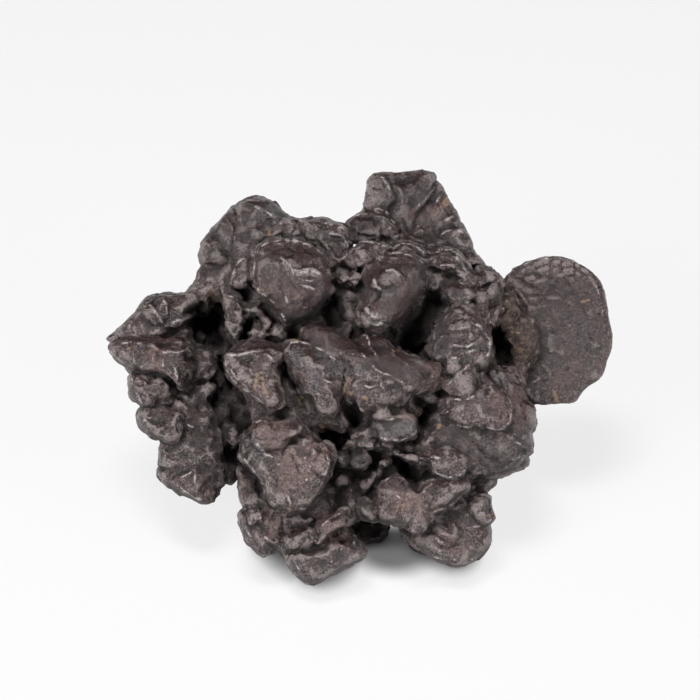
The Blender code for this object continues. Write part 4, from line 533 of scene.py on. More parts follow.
STROKES = (
    # The left wing.
    Stroke(0.5, 0.4, ((-32.6, 7.4), (-31.8, 7), (-31, 5.8), (-30.2, 4.5), (-29.6, 3.9))),
    Stroke(0.5, 0.35, ((-30.6, 8.3), (-29.9, 8.1), (-29.4, 7), (-29.2, 5.5))),
    Stroke(0.35, 0.35, ((-35.2, 4.8), (-35.3, 3))),
    Stroke(0.35, 0.35, ((-35, 4.9), (-34.4, 3.6))),
    Stroke(0.35, 0.35, ((-33.6, 4.5), (-33, 3.2))),
    Stroke(0.25, 0.25, ((-37.6, 3), (-37, 1.8))),
    Stroke(0.25, 0.25, ((-36.6, 3.8), (-36.2, 1.9))),
    Stroke(0.4, 0.4, ((-29.7, 3.7), (-28, 4.6), (-26, 5.2), (-25, 5.8))),
    Stroke(0.45, 0.45, ((-38.2, 0.8), (-35, 1.3), (-31.6, 0.6), (-30.2, -0.4), (-27.5, -0.4), (-25.6, 0.2))),
    Stroke(0.3, 0.35, ((-34.5, 0), (-34.6, -2.6))),
    Stroke(0.3, 0.35, ((-33.3, 0), (-33.4, -3))),
    Stroke(0.3, 0.4, ((-31.5, 0), (-31.4, -3))),
    Stroke(0.3, 0.35, ((-30, -0.6), (-30, -3.3))),
    Stroke(0.4, 0.4, ((-38.8, 0.2), (-37, -1.5), (-35.6, -2.8), (-34.8, -3.4))),
    Stroke(0.45, 0.4, ((-28.9, -1.5), (-28, -3), (-27.5, -5), (-26.5, -6.2))),
    Stroke(0.35, 0.35, ((-28, -2), (-26.6, -2), (-25.3, -2.2))),
    Stroke(0.4, 0.4, ((-34.9, -3.8), (-34.8, -6), (-33.9, -7.2), (-33.3, -8.6), (-32.6, -9.7))),
    Stroke(0.3, 0.3, ((-33, -4.6), (-32.4, -6.4), (-31, -7.6))),
    Stroke(0.3, 0.3, ((-30.8, -4.8), (-30.2, -6.8))),
    Stroke(0.4, 0.35, ((-27, -7), (-25.5, -8.2))),
    Stroke(0.4, 0.35, ((-33.7, -12), (-32.5, -11), (-31, -10.6))),
    Stroke(0.35, 0.35, ((-30.3, -12.7), (-29.1, -11.9))),
    Stroke(0.35, 0.35, ((-29, -13.2), (-27.5, -12.3))),
    Stroke(0.4, 0.4, ((-26.8, -10.5), (-26, -12), (-24.5, -12.5))),
    Stroke(0.4, 0.4, ((-28.6, -20.8), (-26.6, -22.5), (-24.8, -23.6), (-23, -24.2))),
    Stroke(0.4, 0.4, ((-24.6, -18.8), (-26, -20), (-28.3, -20.9))),
    Stroke(0.45, 0.4, ((-24.6, -18.8), (-24.9, -21), (-24.3, -22.5))),
    Stroke(-0.4, 0.4, ((-34.8, -3.4), (-33, -3.8), (-30, -4), (-28.8, -5.2), (-28.6, -7.4))),
    Stroke(-0.4, 0.4, ((-34.4, -9), (-31.6, -9.3), (-29, -8.8), (-27.4, -9.4))),
    Stroke(-0.5, 0.4, ((-30, 3.1), (-28.9, 3.7), (-27, 3))),
    Stroke(-0.6, 0.5, ((-30.8, -18.8), (-29, -19.2), (-28.2, -20))),
    Stroke(-0.5, 0.8, ((-28.4, -17.2), (-28, -17.2))),
    # The crown at the upper left, and the boulder below it.
    Stroke(-0.6, 0.4, ((-18.6, 23), (-18.3, 21), (-18.8, 18), (-19, 16))),
    Stroke(0.35, 0.35, ((-17.5, 21.5), (-17.4, 19.5))),
    Stroke(0.4, 0.35, ((-21.5, 16.4), (-20.8, 15.2))),
    Stroke(0.35, 0.35, ((-20, 21.2), (-18.9, 19.6), (-18.6, 17.4))),
    Stroke(0.35, 0.35, ((-16.2, 23.4), (-14.4, 22.6), (-12.6, 21.6), (-11.8, 20.9))),
    Stroke(-0.4, 0.35, ((-16.4, 20.8), (-14.2, 21), (-12.4, 20.4))),
    Stroke(0.45, 0.3, ((-12.2, 20.2), (-10.6, 20.4), (-9.2, 21.1), (-7, 20.4))),
    Stroke(0.45, 0.4, ((-4, 18.8), (-1.5, 18.3), (-0.3, 17), (-0.6, 15), (-2, 13.8))),
    Stroke(0.5, 0.35, ((-5.4, 20.4), (-3.4, 20.2), (-1.4, 19.6), (-0.2, 19))),
    Stroke(-0.6, 0.4, ((-9.4, 16.8), (-9.6, 18.4), (-8.8, 19.6))),
    Stroke(-0.5, 0.4, ((-5, 16.4), (-5.4, 18), (-4.6, 19.6))),
    Stroke(0.6, 0.4, ((-14.6, 16.4), (-13, 17.3), (-10.5, 17.6), (-8, 17.4), (-6, 16.6), (-4, 15.2), (-3.3, 14))),
    Stroke(-0.7, 0.45, ((-15.4, 16.8), (-13.2, 18.1), (-10.5, 18.5), (-7.8, 18.2), (-5.4, 17.2), (-3.4, 15.8))),
    Stroke(0.45, 0.45, ((-14.6, 16.4), (-15.2, 14.5), (-15.5, 12), (-15.2, 10), (-14, 9), (-12.2, 7.5),
                        (-10.8, 5.5), (-10, 4.2))),
    Stroke(0.55, 0.35, ((-11.6, 15.4), (-10.8, 14.5), (-10.4, 13.2))),
    Stroke(0.5, 0.35, ((-10, 14.2), (-9.3, 13), (-8.3, 12.6), (-6.4, 13), (-4.8, 12.4))),
    Stroke(0.4, 0.4, ((-8.3, 11.4), (-6.4, 11), (-4.5, 11.6))),
    Stroke(-0.5, 0.4, ((-9.8, 13), (-9.6, 11), (-8.4, 9.8))),
    Stroke(0.4, 0.35, ((-7.5, 10.5), (-6, 9.8), (-4.6, 9.9))),
    Stroke(0.3, 0.4, ((-9.2, 8.6), (-7.6, 7), (-5.6, 6.2))),
    Stroke(0.4, 0.35, ((-18.9, 11.5), (-18.3, 13.5), (-17.3, 14.6), (-16, 14.7))),
    Stroke(-0.7, 0.4, ((-16, 15.2), (-16.3, 13), (-16.2, 11), (-15.6, 9.6))),
    Stroke(0.4, 0.35, ((-20.7, 10.5), (-20.2, 9), (-19.3, 8.6), (-17.7, 8.2))),
    Stroke(0.4, 0.3, ((-16.9, 6.8), (-16, 7.2), (-15, 7))),
    Stroke(-0.6, 0.3, ((-17, 5.6), (-16.9, 3.6))),
    Stroke(-0.6, 0.3, ((-16, 5.8), (-15.9, 3.8))),
    Stroke(-0.6, 0.3, ((-15, 5.4), (-14.9, 3.6))),
    Stroke(-0.8, 0.35, ((-12.2, 4.6), (-12.7, 3.2))),
    Stroke(0.3, 0.2, ((-12.3, 2.6), (-11.4, 4.2))),
    Stroke(0.3, 0.2, ((-11.4, 2.2), (-10.4, 4.2))),
    Stroke(0.3, 0.2, ((-10.9, 1.8), (-9.9, 3.4))),
    # The peak at the back.
    Stroke(0.55, 0.5, ((4, 28), (5.2, 27.6), (6, 26.4), (6.8, 24.8))),
    Stroke(0.4, 0.4, ((3, 25.6), (4, 26.5), (5.3, 25.7))),
    Stroke(0.4, 0.35, ((2.3, 24), (2.6, 26), (3.1, 27.4))),
    Stroke(0.5, 0.3, ((13.8, 27), (13.3, 25.6), (12.3, 24.4), (11.5, 23.7), (10.8, 22.8), (10.2, 22.2))),
    Stroke(0.4, 0.35, ((14.4, 25), (13.8, 23.4), (14, 22.6))),
    Stroke(0.5, 0.3, ((3.4, 22.5), (4.5, 22.6), (5.6, 22.3), (6.4, 21.4))),
    Stroke(-0.6, 0.3, ((4.2, 21.8), (5.4, 21.7), (6.3, 21.3))),
    Stroke(0.4, 0.35, ((6.3, 21.2), (7, 20.4), (7.6, 19.8))),
    Stroke(0.45, 0.35, ((0.2, 21), (1.6, 21.8), (3.4, 21.8), (4.2, 21))),
    Stroke(0.4, 0.35, ((4.4, 20.6), (4.6, 19.2), (5.4, 18.2))),
    Stroke(0.4, 0.35, ((10.2, 19.4), (10.8, 19.9), (11.5, 19.2), (11.9, 18.1))),
    Stroke(0.45, 0.35, ((13.8, 17.8), (15, 18.8), (16.5, 19.3), (17.8, 19), (18.6, 18.2))),
    Stroke(0.5, 0.55, ((14.5, 20.2), (15.8, 21), (17.2, 21.9))),
    Stroke(0.3, 0.4, ((7.6, 26.4), (8.4, 24.8), (8.2, 23))),
    Stroke(0.3, 0.4, ((9.6, 26.8), (10.2, 25.6))),
    Stroke(-0.5, 0.5, ((8, 21.6), (9, 20), (9.4, 18.6))),
    Stroke(-0.4, 0.4, ((12.2, 22.4), (13, 20.6), (13.2, 19))),
    # The rims behind the middle knob.
    Stroke(0.6, 0.35, ((0.5, 17.1), (2, 17.4), (4, 17.2), (6, 16.6), (7, 16.4), (8.2, 17), (9.6, 17), (10.8, 16.4),
                       (11.8, 15.6), (13.2, 15.5), (15, 16.1), (16.4, 15.9), (17.4, 15.3), (18, 14.6))),
    Stroke(-0.7, 0.4, ((0.3, 18), (2, 18.3), (4.4, 18.1), (6.4, 17.4), (8, 18), (9.8, 17.9), (11.4, 17.1), (12.6, 16.4),
                       (15, 17), (17, 16.6), (18.4, 15.6))),
    Stroke(0.5, 0.35, ((4, 14.2), (5.4, 14.8), (6.6, 15.5), (8, 15.6), (9.8, 15.1), (11.2, 14.4), (12, 13.6))),
    Stroke(-0.6, 0.35, ((5.6, 15.7), (7, 16.1), (8.6, 16.2), (10.4, 15.7), (12, 14.8))),
    Stroke(0.35, 0.25, ((2.8, 15.4), (3.6, 15.8), (4.2, 15.2), (3.4, 14.9))),
    Stroke(-0.5, 0.4, ((3.4, 15.3), (3.6, 15.3))),
    Stroke(0.35, 0.25, ((5.4, 15.8), (6.2, 15.6), (5.6, 14.9), (4.8, 14.4), (3.6, 14.6))),
    Stroke(0.45, 0.35, ((16.9, 15.6), (17.2, 14.6), (17.8, 13.6), (18.6, 12.6), (19.6, 11.8), (20.6, 11))),
    Stroke(0.4, 0.35, ((13.4, 13.2), (15, 13.6), (16.5, 13.6), (17.6, 13.1))),
    Stroke(-0.5, 0.4, ((13.4, 12.5), (15, 12.8), (16.6, 12.8), (17.6, 12.2))),
    Stroke(0.4, 0.35, ((16, 10.8), (17.5, 10.8), (18.7, 10.4), (19.5, 9.8))),
    Stroke(0.45, 0.4, ((20.4, 13), (21.6, 13.4), (22.8, 13.1), (23.9, 12.4), (24.7, 11.5))),
    # The middle knob and what hangs to its left.
    Stroke(0.5, 0.35, ((3.4, 11.4), (3.6, 10.6), (4.2, 9.9), (5, 9.6))),
    Stroke(0.4, 0.3, ((6.6, 10.2), (7.6, 10.4), (8.3, 10.5))),
    Stroke(0.25, 0.3, ((4.9, 11.4), (5.6, 12.6), (7, 12.9), (8.2, 11.9), (8.1, 10.7))),
    Stroke(0.5, 0.35, ((2.4, 6.8), (3, 5.6), (4.2, 5.2), (4.4, 6.2))),
    Stroke(0.45, 0.3, ((3.4, 4.2), (4.4, 3.9), (5.4, 4.6), (6, 5))),
    Stroke(0.45, 0.35, ((10.4, 8.4), (11.4, 8.8), (12.2, 10), (12.4, 11.6), (12, 13.4))),
    Stroke(0.4, 0.35, ((9, 12.8), (9.8, 11.6), (10, 10.4))),
    Stroke(-0.4, 0.4, ((8.8, 13.4), (9, 11.8), (9, 10.2))),
    Stroke(-0.7, 0.4, ((1.6, 3.4), (3, 2.6), (4.6, 2.6), (6, 3), (7.6, 4), (9, 5.6), (10, 7.2))),
    Stroke(0.4, 0.3, ((2.4, 2.6), (4, 2.5), (5.6, 2.4), (7.2, 3), (8.6, 4.2))),
    Stroke(0.35, 0.3, ((-1.8, 10.9), (-0.9, 10.5), (0, 11))),
    Stroke(0.35, 0.3, ((0.3, 10.9), (1, 10.5), (1.8, 11))),
    Stroke(0.5, 0.3, ((1.6, 2.4), (2.6, 2.3), (3, 1.4), (3.2, 0.5), (4, -0.6), (4.4, -1.4))),
    # The ribbed boulder on the right.
    Stroke(0.3, 0.3, ((16.3, 3.5), (17.4, 3.4), (18.3, 3.7), (19.4, 3.5))),
    Stroke(0.2, 0.3, ((15.4, 2.3), (17.2, 2.5), (18.8, 2.2))),
    Stroke(-0.3, 0.3, ((17.6, 2.9), (19.4, 3.0), (20.6, 2.4))),
    Stroke(0.35, 0.3, ((18.4, 7.9), (19.6, 7.4), (20.6, 6.4))),
    Stroke(-0.4, 0.35, ((15.8, 6.6), (17.4, 6.9), (18.8, 6.2), (20.2, 5.2))),
    Stroke(0.3, 0.3, ((13.0, 2.6), (14.4, 1.6), (15.6, 1.7))),
    Stroke(0.25, 0.3, ((12.8, 0.0), (14.2, -0.5), (15.2, 0.2))),
    Stroke(0.5, 0.35, ((15.4, 0.6), (16.2, 0.9), (18, 0.5), (19, 0.6), (20.4, 1.4))),
    Stroke(0.35, 0.3, ((16.6, 5), (18, 5.3), (19.4, 4.8))),
    Stroke(0.5, 0.4, ((19.4, 4.5), (20.8, 3.8), (21.6, 2.8), (22.3, 1.6), (22.4, 0), (21.8, -1.6))),
    Stroke(0.4, 0.35, ((18, -0.6), (19.4, -0.2), (20.6, 0.2))),
    Stroke(0.35, 0.3, ((13.6, 1.8), (14.8, 2.2), (16, 2))),
    Stroke(0.4, 0.35, ((15.8, -1.5), (17, -1.2), (17.8, -2.2))),
    Stroke(0.4, 0.3, ((21.8, 7.9), (22.3, 7), (22.7, 6.2))),
    Stroke(0.4, 0.3, ((22.2, 5.6), (22.4, 4.6), (23.2, 3.8), (24.2, 4.2), (24.2, 5))),
    # The disc.
    Stroke(0.35, 0.3, ((26.4, 12.8), (28.2, 13.9), (30.2, 14.5), (32.4, 14.8), (34.6, 14.6), (36.6, 13.8))),
    Stroke(0.3, 0.3, ((37.4, 13.2), (38.8, 11.4), (39.8, 9.2), (40.4, 6.4), (40.4, 3.2))),
    Stroke(-0.4, 0.4, ((26.0, 11.7), (27.4, 11.4), (28.6, 10.6), (30.4, 10.0))),
    Stroke(-0.4, 0.4, ((26.8, 12.3), (28.2, 12.2), (29.4, 12.3), (30.6, 11.9), (32.2, 11.8))),
    Stroke(-0.35, 0.35, ((28.6, 13.8), (29.8, 13.1), (31.4, 13.7), (32.4, 13.2))),
    Stroke(-0.35, 0.35, ((31.9, 14.6), (32.0, 13.4), (32.2, 12.2), (31.6, 11.4))),
    Stroke(-0.35, 0.35, ((33.7, 14.5), (33.8, 13.2), (33.6, 12.4), (32.6, 12.1))),
    Stroke(-0.35, 0.35, ((33.8, 13.2), (35.0, 13.3), (35.8, 13.4), (36.0, 14.0))),
    Stroke(-0.35, 0.35, ((35.8, 13.4), (36.0, 12.2), (35.0, 11.9), (33.9, 11.5))),
    Stroke(-0.35, 0.35, ((36.0, 12.9), (36.8, 12.9), (37.0, 11.8), (36.2, 11.5))),
    Stroke(-0.3, 0.35, ((36.9, 13.4), (36.8, 12.7), (38.0, 12.0), (38.4, 12.4))),
    Stroke(-0.5, 0.5, ((26.4, 10.4), (27.6, 9.3), (28.4, 8.0))),
    Stroke(-0.4, 0.5, ((25.9, 9.8), (27.0, 8.6), (28.0, 7.0), (28.4, 5.8))),
    Stroke(-0.3, 0.3, ((28.6, 9.0), (30.6, 9.0), (31.4, 8.0), (33.4, 7.9))),
    Stroke(0.3, 0.35, ((28.6, 8.2), (29.8, 8.2))),
    Stroke(0.3, 0.35, ((31.8, 8.4), (33.4, 8.3))),
    Stroke(0.3, 0.35, ((25.8, 11), (27, 9.8), (29, 9.2))),
    Stroke(0.25, 0.3, ((30.4, 6.9), (31.6, 7.2))),
    Stroke(0.25, 0.3, ((33.6, 2.4), (34.2, 2.9))),
    Stroke(0.25, 0.3, ((31.8, -2.2), (33.4, -3.4))),
    Stroke(0.25, 0.3, ((36.6, 5.6), (37.4, 6.2))),
    Stroke(0.25, 0.25, ((34.3, 4.4), (35.2, 3.8), (35.8, 4.3))),
    Stroke(0.25, 0.25, ((36.5, 3), (38.2, 3.8))),
    Stroke(0.25, 0.25, ((37, 9), (39.4, 10.2))),
    Stroke(0.25, 0.25, ((37.2, 10.2), (38.8, 8.8))),
    Stroke(-0.4, 0.5, ((30.8, -3), (31.2, -4))),
    Stroke(0.3, 0.3, ((28.5, -5.5), (29.8, -4.9), (31, -4))),
    Stroke(0.3, 0.3, ((28.6, -7.6), (29.8, -7), (31, -6.2))),
    Stroke(0.2, 0.3, ((28, -3.6), (29.2, -1.2), (30.4, 0))),
    # The teeth and the ledge across the middle.
    Stroke(0.55, 0.4, ((-20, -0.8), (-18, -0.8), (-15, -0.2), (-13, -0.1), (-11.8, -0.6), (-11, -0.9))),
    Stroke(0.5, 0.4, ((-20, -1.2), (-19.8, -3), (-18.9, -4.6), (-17.6, -5.9), (-16.4, -6.6), (-15, -7.6), (-13.8, -8.6))),
    Stroke(0.4, 0.3, ((-19.4, -2.6), (-18.4, -4.2), (-17, -5.6), (-15.8, -6.8))),
    Stroke(0.45, 0.4, ((-13.8, -0.2), (-12.4, -1.6), (-11.8, -2.4))),
    Stroke(0.4, 0.35, ((-18, -2), (-16.8, -3), (-15.4, -3.2))),
    Stroke(-1.0, 0.7, ((-10.8, -2.8), (-10.4, -3.6), (-9.6, -5), (-8.6, -6.6), (-7.6, -8.6), (-6.6, -9.8))),
    Stroke(-0.6, 0.35, ((-8.2, -3), (-7.4, -2.9), (-6.8, -3.3))),
    Stroke(0.4, 0.3, ((-8.3, -3.6), (-7.4, -3.5), (-6.6, -3.9))),
    Stroke(0.4, 0.35, ((-4.6, -4.6), (-3.6, -5), (-2, -5.8))),
    Stroke(0.4, 0.35, ((-7.6, -6.4), (-6, -6.8), (-4, -7.4))),
    Stroke(0.5, 0.4, ((-10.2, 0), (-9.4, 1.2), (-8, 1.4), (-6.4, 0.9), (-5, 0.2), (-3.9, -0.2), (-3.4, -0.9),
                      (-2.4, -1.4), (-1.4, -2.1), (-0.6, -2.4))),
    Stroke(0.5, 0.4, ((0, -0.6), (1.8, -0.6), (3, -1.6), (4, -3), (5, -3.6), (6.4, -4), (8.4, -5.2), (10.6, -6.4))),
    Stroke(-0.7, 0.5, ((-0.7, -2.6), (-0.9, -4.4), (-1.2, -6.4), (-1.4, -8))),
    Stroke(0.4, 0.35, ((0.3, -2.4), (0.8, -3.6), (1.4, -4.2))),
    Stroke(-0.5, 0.8, ((1.6, -2.8), (2.2, -3.2))),
    Stroke(0.5, 0.3, ((2, -5.6), (3.2, -6), (4.4, -5.6), (4.6, -4.6), (4.2, -3.8))),
    Stroke(-0.6, 0.3, ((2, -4.9), (3.2, -5.3), (3.9, -4.8))),
    Stroke(0.4, 0.3, ((4.8, -3.8), (5, -5), (5, -5.8), (5.8, -6.6))),
    Stroke(0.4, 0.4, ((-1, -7.6), (0.4, -8.6), (2, -9.6), (3, -10))),
    Stroke(-0.5, 0.5, ((4.2, -8.8), (5.2, -9))),
    Stroke(0.3, 0.3, ((6, 0), (8.4, -1.8), (10.6, -3.4), (12, -5))),
    # The nuts in the centre.
    Stroke(0.45, 0.35, ((4, -13.6), (6, -14.4), (8.4, -14.4), (10.4, -13.4), (11, -12.4))),
    Stroke(0.4, 0.35, ((3.8, -10.4), (5.2, -11.2), (7, -11), (7.4, -10))),
    Stroke(0.4, 0.35, ((6.6, -16), (8, -17), (10, -17.4), (11.6, -18.2))),
    Stroke(0.4, 0.35, ((11.8, -17.6), (13, -17.2), (15, -17.3))),
    Stroke(0.4, 0.35, ((16.6, -16.4), (17, -17.2), (17, -18.2))),
    Stroke(0.45, 0.35, ((12, -18.6), (14, -19.8), (16, -20.4), (17.6, -20), (18.6, -19))),
    # The rimmed boulder and the flank.
    Stroke(0.5, 0.4, ((19.2, -2.2), (18, -3.4), (16.4, -4.8), (15.4, -5.8))),
    Stroke(0.5, 0.4, ((16, -7.8), (17.6, -7.9), (19, -7.8), (20.2, -7.2))),
    Stroke(0.3, 0.25, ((20.3, -7.4), (21, -6.2), (22, -5.3), (22.8, -6.4), (22.4, -7.2), (21.6, -7.9), (20.6, -7.8))),
    Stroke(0.5, 0.35, ((23.6, -6), (24.8, -6.8), (25.6, -8), (25.7, -9.6), (25.8, -10.6), (25.4, -11.6), (24.4, -12.6),
                       (23.4, -12.8), (21.4, -12.2), (20, -12))),
    Stroke(0.4, 0.35, ((16, -11.4), (17.6, -12.2), (19.8, -12.4))),
    Stroke(-0.5, 0.3, ((24.6, -9.4), (24.2, -10.6), (24.2, -12))),
    Stroke(0.35, 0.3, ((15.2, -8.2), (15.8, -8.8))),
    Stroke(-0.5, 0.35, ((15.9, -8.9), (15.8, -10.6))),
    Stroke(0.4, 0.35, ((20.6, -4), (22.4, -5.2), (23.4, -6))),
    Stroke(0.3, 0.25, ((26, -10.4), (27, -12))),
    Stroke(0.3, 0.25, ((26.6, -10.6), (27.6, -11.4), (28.6, -12))),
    Stroke(0.35, 0.35, ((26, -14.4), (27.4, -15.2), (29.2, -16.2))),
    Stroke(0.35, 0.35, ((24, -17.4), (26.4, -17.4), (28.4, -16.8))),
    Stroke(0.35, 0.35, ((24, -19.2), (26, -18))),
    Stroke(-0.6, 0.45, ((20, -14.6), (21.6, -16.6), (24, -18.2))),
    # The boulder in front.
    Stroke(0.45, 0.3, ((-15.4, -12.4), (-14.8, -11.4), (-13.8, -11.2), (-13, -11.7))),
    Stroke(0.5, 0.5, ((-17, -14.3), (-15.6, -14.6), (-14.4, -15.6), (-13.4, -16.8), (-12, -17.2))),
    Stroke(0.45, 0.4, ((-17.8, -15.4), (-17.6, -17), (-16.6, -17.8), (-15, -19.8), (-14.4, -20.8), (-14, -22),
                       (-13.6, -23.2), (-12.6, -24.4), (-11, -25.2), (-9.8, -25.5))),
    Stroke(0.4, 0.35, ((-8.6, -25.4), (-7, -25.4), (-6, -24.8))),
    Stroke(-0.7, 0.45, ((-7.6, -13), (-8.6, -14), (-9.8, -15), (-10.6, -16), (-11, -17.4))),
    Stroke(0.45, 0.4, ((-6.9, -13.8), (-6, -14.8), (-5.8, -16.4), (-6, -18))),
    Stroke(0.4, 0.3, ((-4.4, -16.4), (-3.6, -17), (-3.4, -18.4), (-4, -19.8), (-5.4, -20.4), (-6, -20))),
    Stroke(0.35, 0.25, ((-13.4, -20.8), (-12.8, -20.4), (-12.2, -21), (-12.4, -22), (-13.2, -22.2), (-13.4, -21.4))),
    Stroke(0.45, 0.4, ((-10.4, -22), (-10, -23.4), (-9.4, -24.6), (-8.8, -25.2))),
    Stroke(-0.5, 0.5, ((-9.6, -16.4), (-8.8, -18), (-8, -19.8))),
    Stroke(-0.4, 0.4, ((-12, -18.4), (-11.6, -20), (-11.8, -21.8))),
    Stroke(-0.4, 0.3, ((-6.6, -21), (-7.6, -21.8), (-8.6, -21.6))),
    # The lower left.
    Stroke(0.4, 0.35, ((-17.6, -23), (-17, -24.6), (-16.6, -26))),
    Stroke(0.4, 0.25, ((-16.6, -25.8), (-14.6, -25.6), (-14.2, -27.4), (-16, -27.8), (-16.6, -25.8))),
    Stroke(0.4, 0.35, ((-13.2, -27.8), (-12.6, -26), (-12, -25.2))),
    Stroke(0.4, 0.3, ((-14.2, -29.4), (-13, -30.4), (-12, -30.9), (-11.2, -30.2))),
    Stroke(0.35, 0.3, ((-17, -27.6), (-16.2, -29.4), (-15.4, -30.8))),
    Stroke(-0.9, 0.45, ((-11.2, -31.4), (-11, -29), (-10.9, -26.6))),
    Stroke(-0.6, 0.35, ((-10.4, -28), (-8.6, -28), (-7.2, -27.8), (-5.6, -27.8))),
    Stroke(-0.6, 0.35, ((-5.2, -28.4), (-5.4, -30), (-5.6, -31.4))),
    Stroke(-0.7, 0.4, ((-10.4, -32.2), (-8.6, -32.5), (-6.6, -32.1), (-4.6, -31.2), (-2.8, -29.8), (-1.4, -28.9))),
    Stroke(0.35, 0.35, ((-9.2, -32.6), (-8.8, -34), (-8, -35.4), (-6.6, -37))),
    Stroke(0.35, 0.25, ((-0.4, -29.9), (-0.2, -31.8))),
    Stroke(0.35, 0.25, ((0.6, -29.9), (0.8, -31.8))),
    Stroke(0.35, 0.25, ((1.5, -30.2), (1.8, -31.9))),
    Stroke(0.4, 0.35, ((-5, -29), (-4.2, -27.8), (-2.4, -26.6), (-1, -25.8))),
    # The lower right.
    Stroke(-0.7, 0.35, ((7, -20), (8, -20.8), (8.8, -21.6), (9.8, -21.8), (10.7, -22.1))),
    Stroke(-0.5, 0.3, ((6.4, -20.4), (7.6, -21))),
    Stroke(0.4, 0.35, ((12.2, -23), (11.4, -24.2))),
    Stroke(0.45, 0.35, ((12, -26.1), (13.6, -25.8), (15.4, -25.2), (17, -24.4))),
    Stroke(0.35, 0.3, ((12, -25.4), (12.6, -26), (13.4, -26.8), (13, -27.6))),
    Stroke(0.4, 0.35, ((8.4, -28.2), (9.6, -28.9), (11.2, -29.1))),
    Stroke(0.4, 0.35, ((5, -21.6), (6.2, -20.4), (7, -20.2))),
    Stroke(0.4, 0.3, ((19, -28.3), (20.6, -28.2), (22.6, -27.2), (23.4, -26.8))),
    Stroke(-0.6, 0.35, ((19.4, -21), (20.4, -21.8), (19.6, -22.6), (18.4, -23.6))),
    Stroke(0.45, 0.35, ((13.4, -29.6), (14.4, -30.8), (15.6, -31), (17, -30.4))),
    Stroke(-0.5, 0.35, ((13.6, -30.6), (14.6, -31.6), (16, -31.7), (17.4, -31))),
    Stroke(-0.5, 0.5, ((18.4, -28.8), (19, -28.8))),
    Stroke(0.3, 0.4, ((12.4, -32.4), (14, -33.4), (16, -33.6))),
    # The closed ends of two gaps, beside the disc's neck and below the peak.
    Stroke(2.0, 1.0, ((24.4, 6.6), (25.0, 6.8))),
    Stroke(0.9, 0.7, ((19.4, 13.6), (20.4, 13.5))),
)

STROKE_HEIGHT = 0.6  # of the height that a stroke states
STROKE_WIDTH = 0.75
CREASE_WIDTH = 0.5  # of the width that a narrow sunk stroke states
# The bright line along a raised stroke is a painted highlight, and the dark line along a sunk one is painted shade.
RIM_WIDTH = 0.19  # of the bright line along a raised stroke, and the dark line along a sunk one
FULL_RIM = 0.5  # the height of a stroke whose line is drawn in full
STROKE_SWELL = 0.6  # how much a stroke swells and thins, how fast it does so, and how it fades at its ends
STROKE_TURN = 2.0
END_STRENGTH = 0.3
END_FADE = 1.6
SOFT_BORDER = 0.4  # of a patch, at least
CALM = 0.65  # how much of the wrinkles is missing where the crust is smooth

# What the surface shows that isn't raised: a kind of patch, its width from the middle line, and points along it.
Patch = namedtuple("Patch", "kind size points")

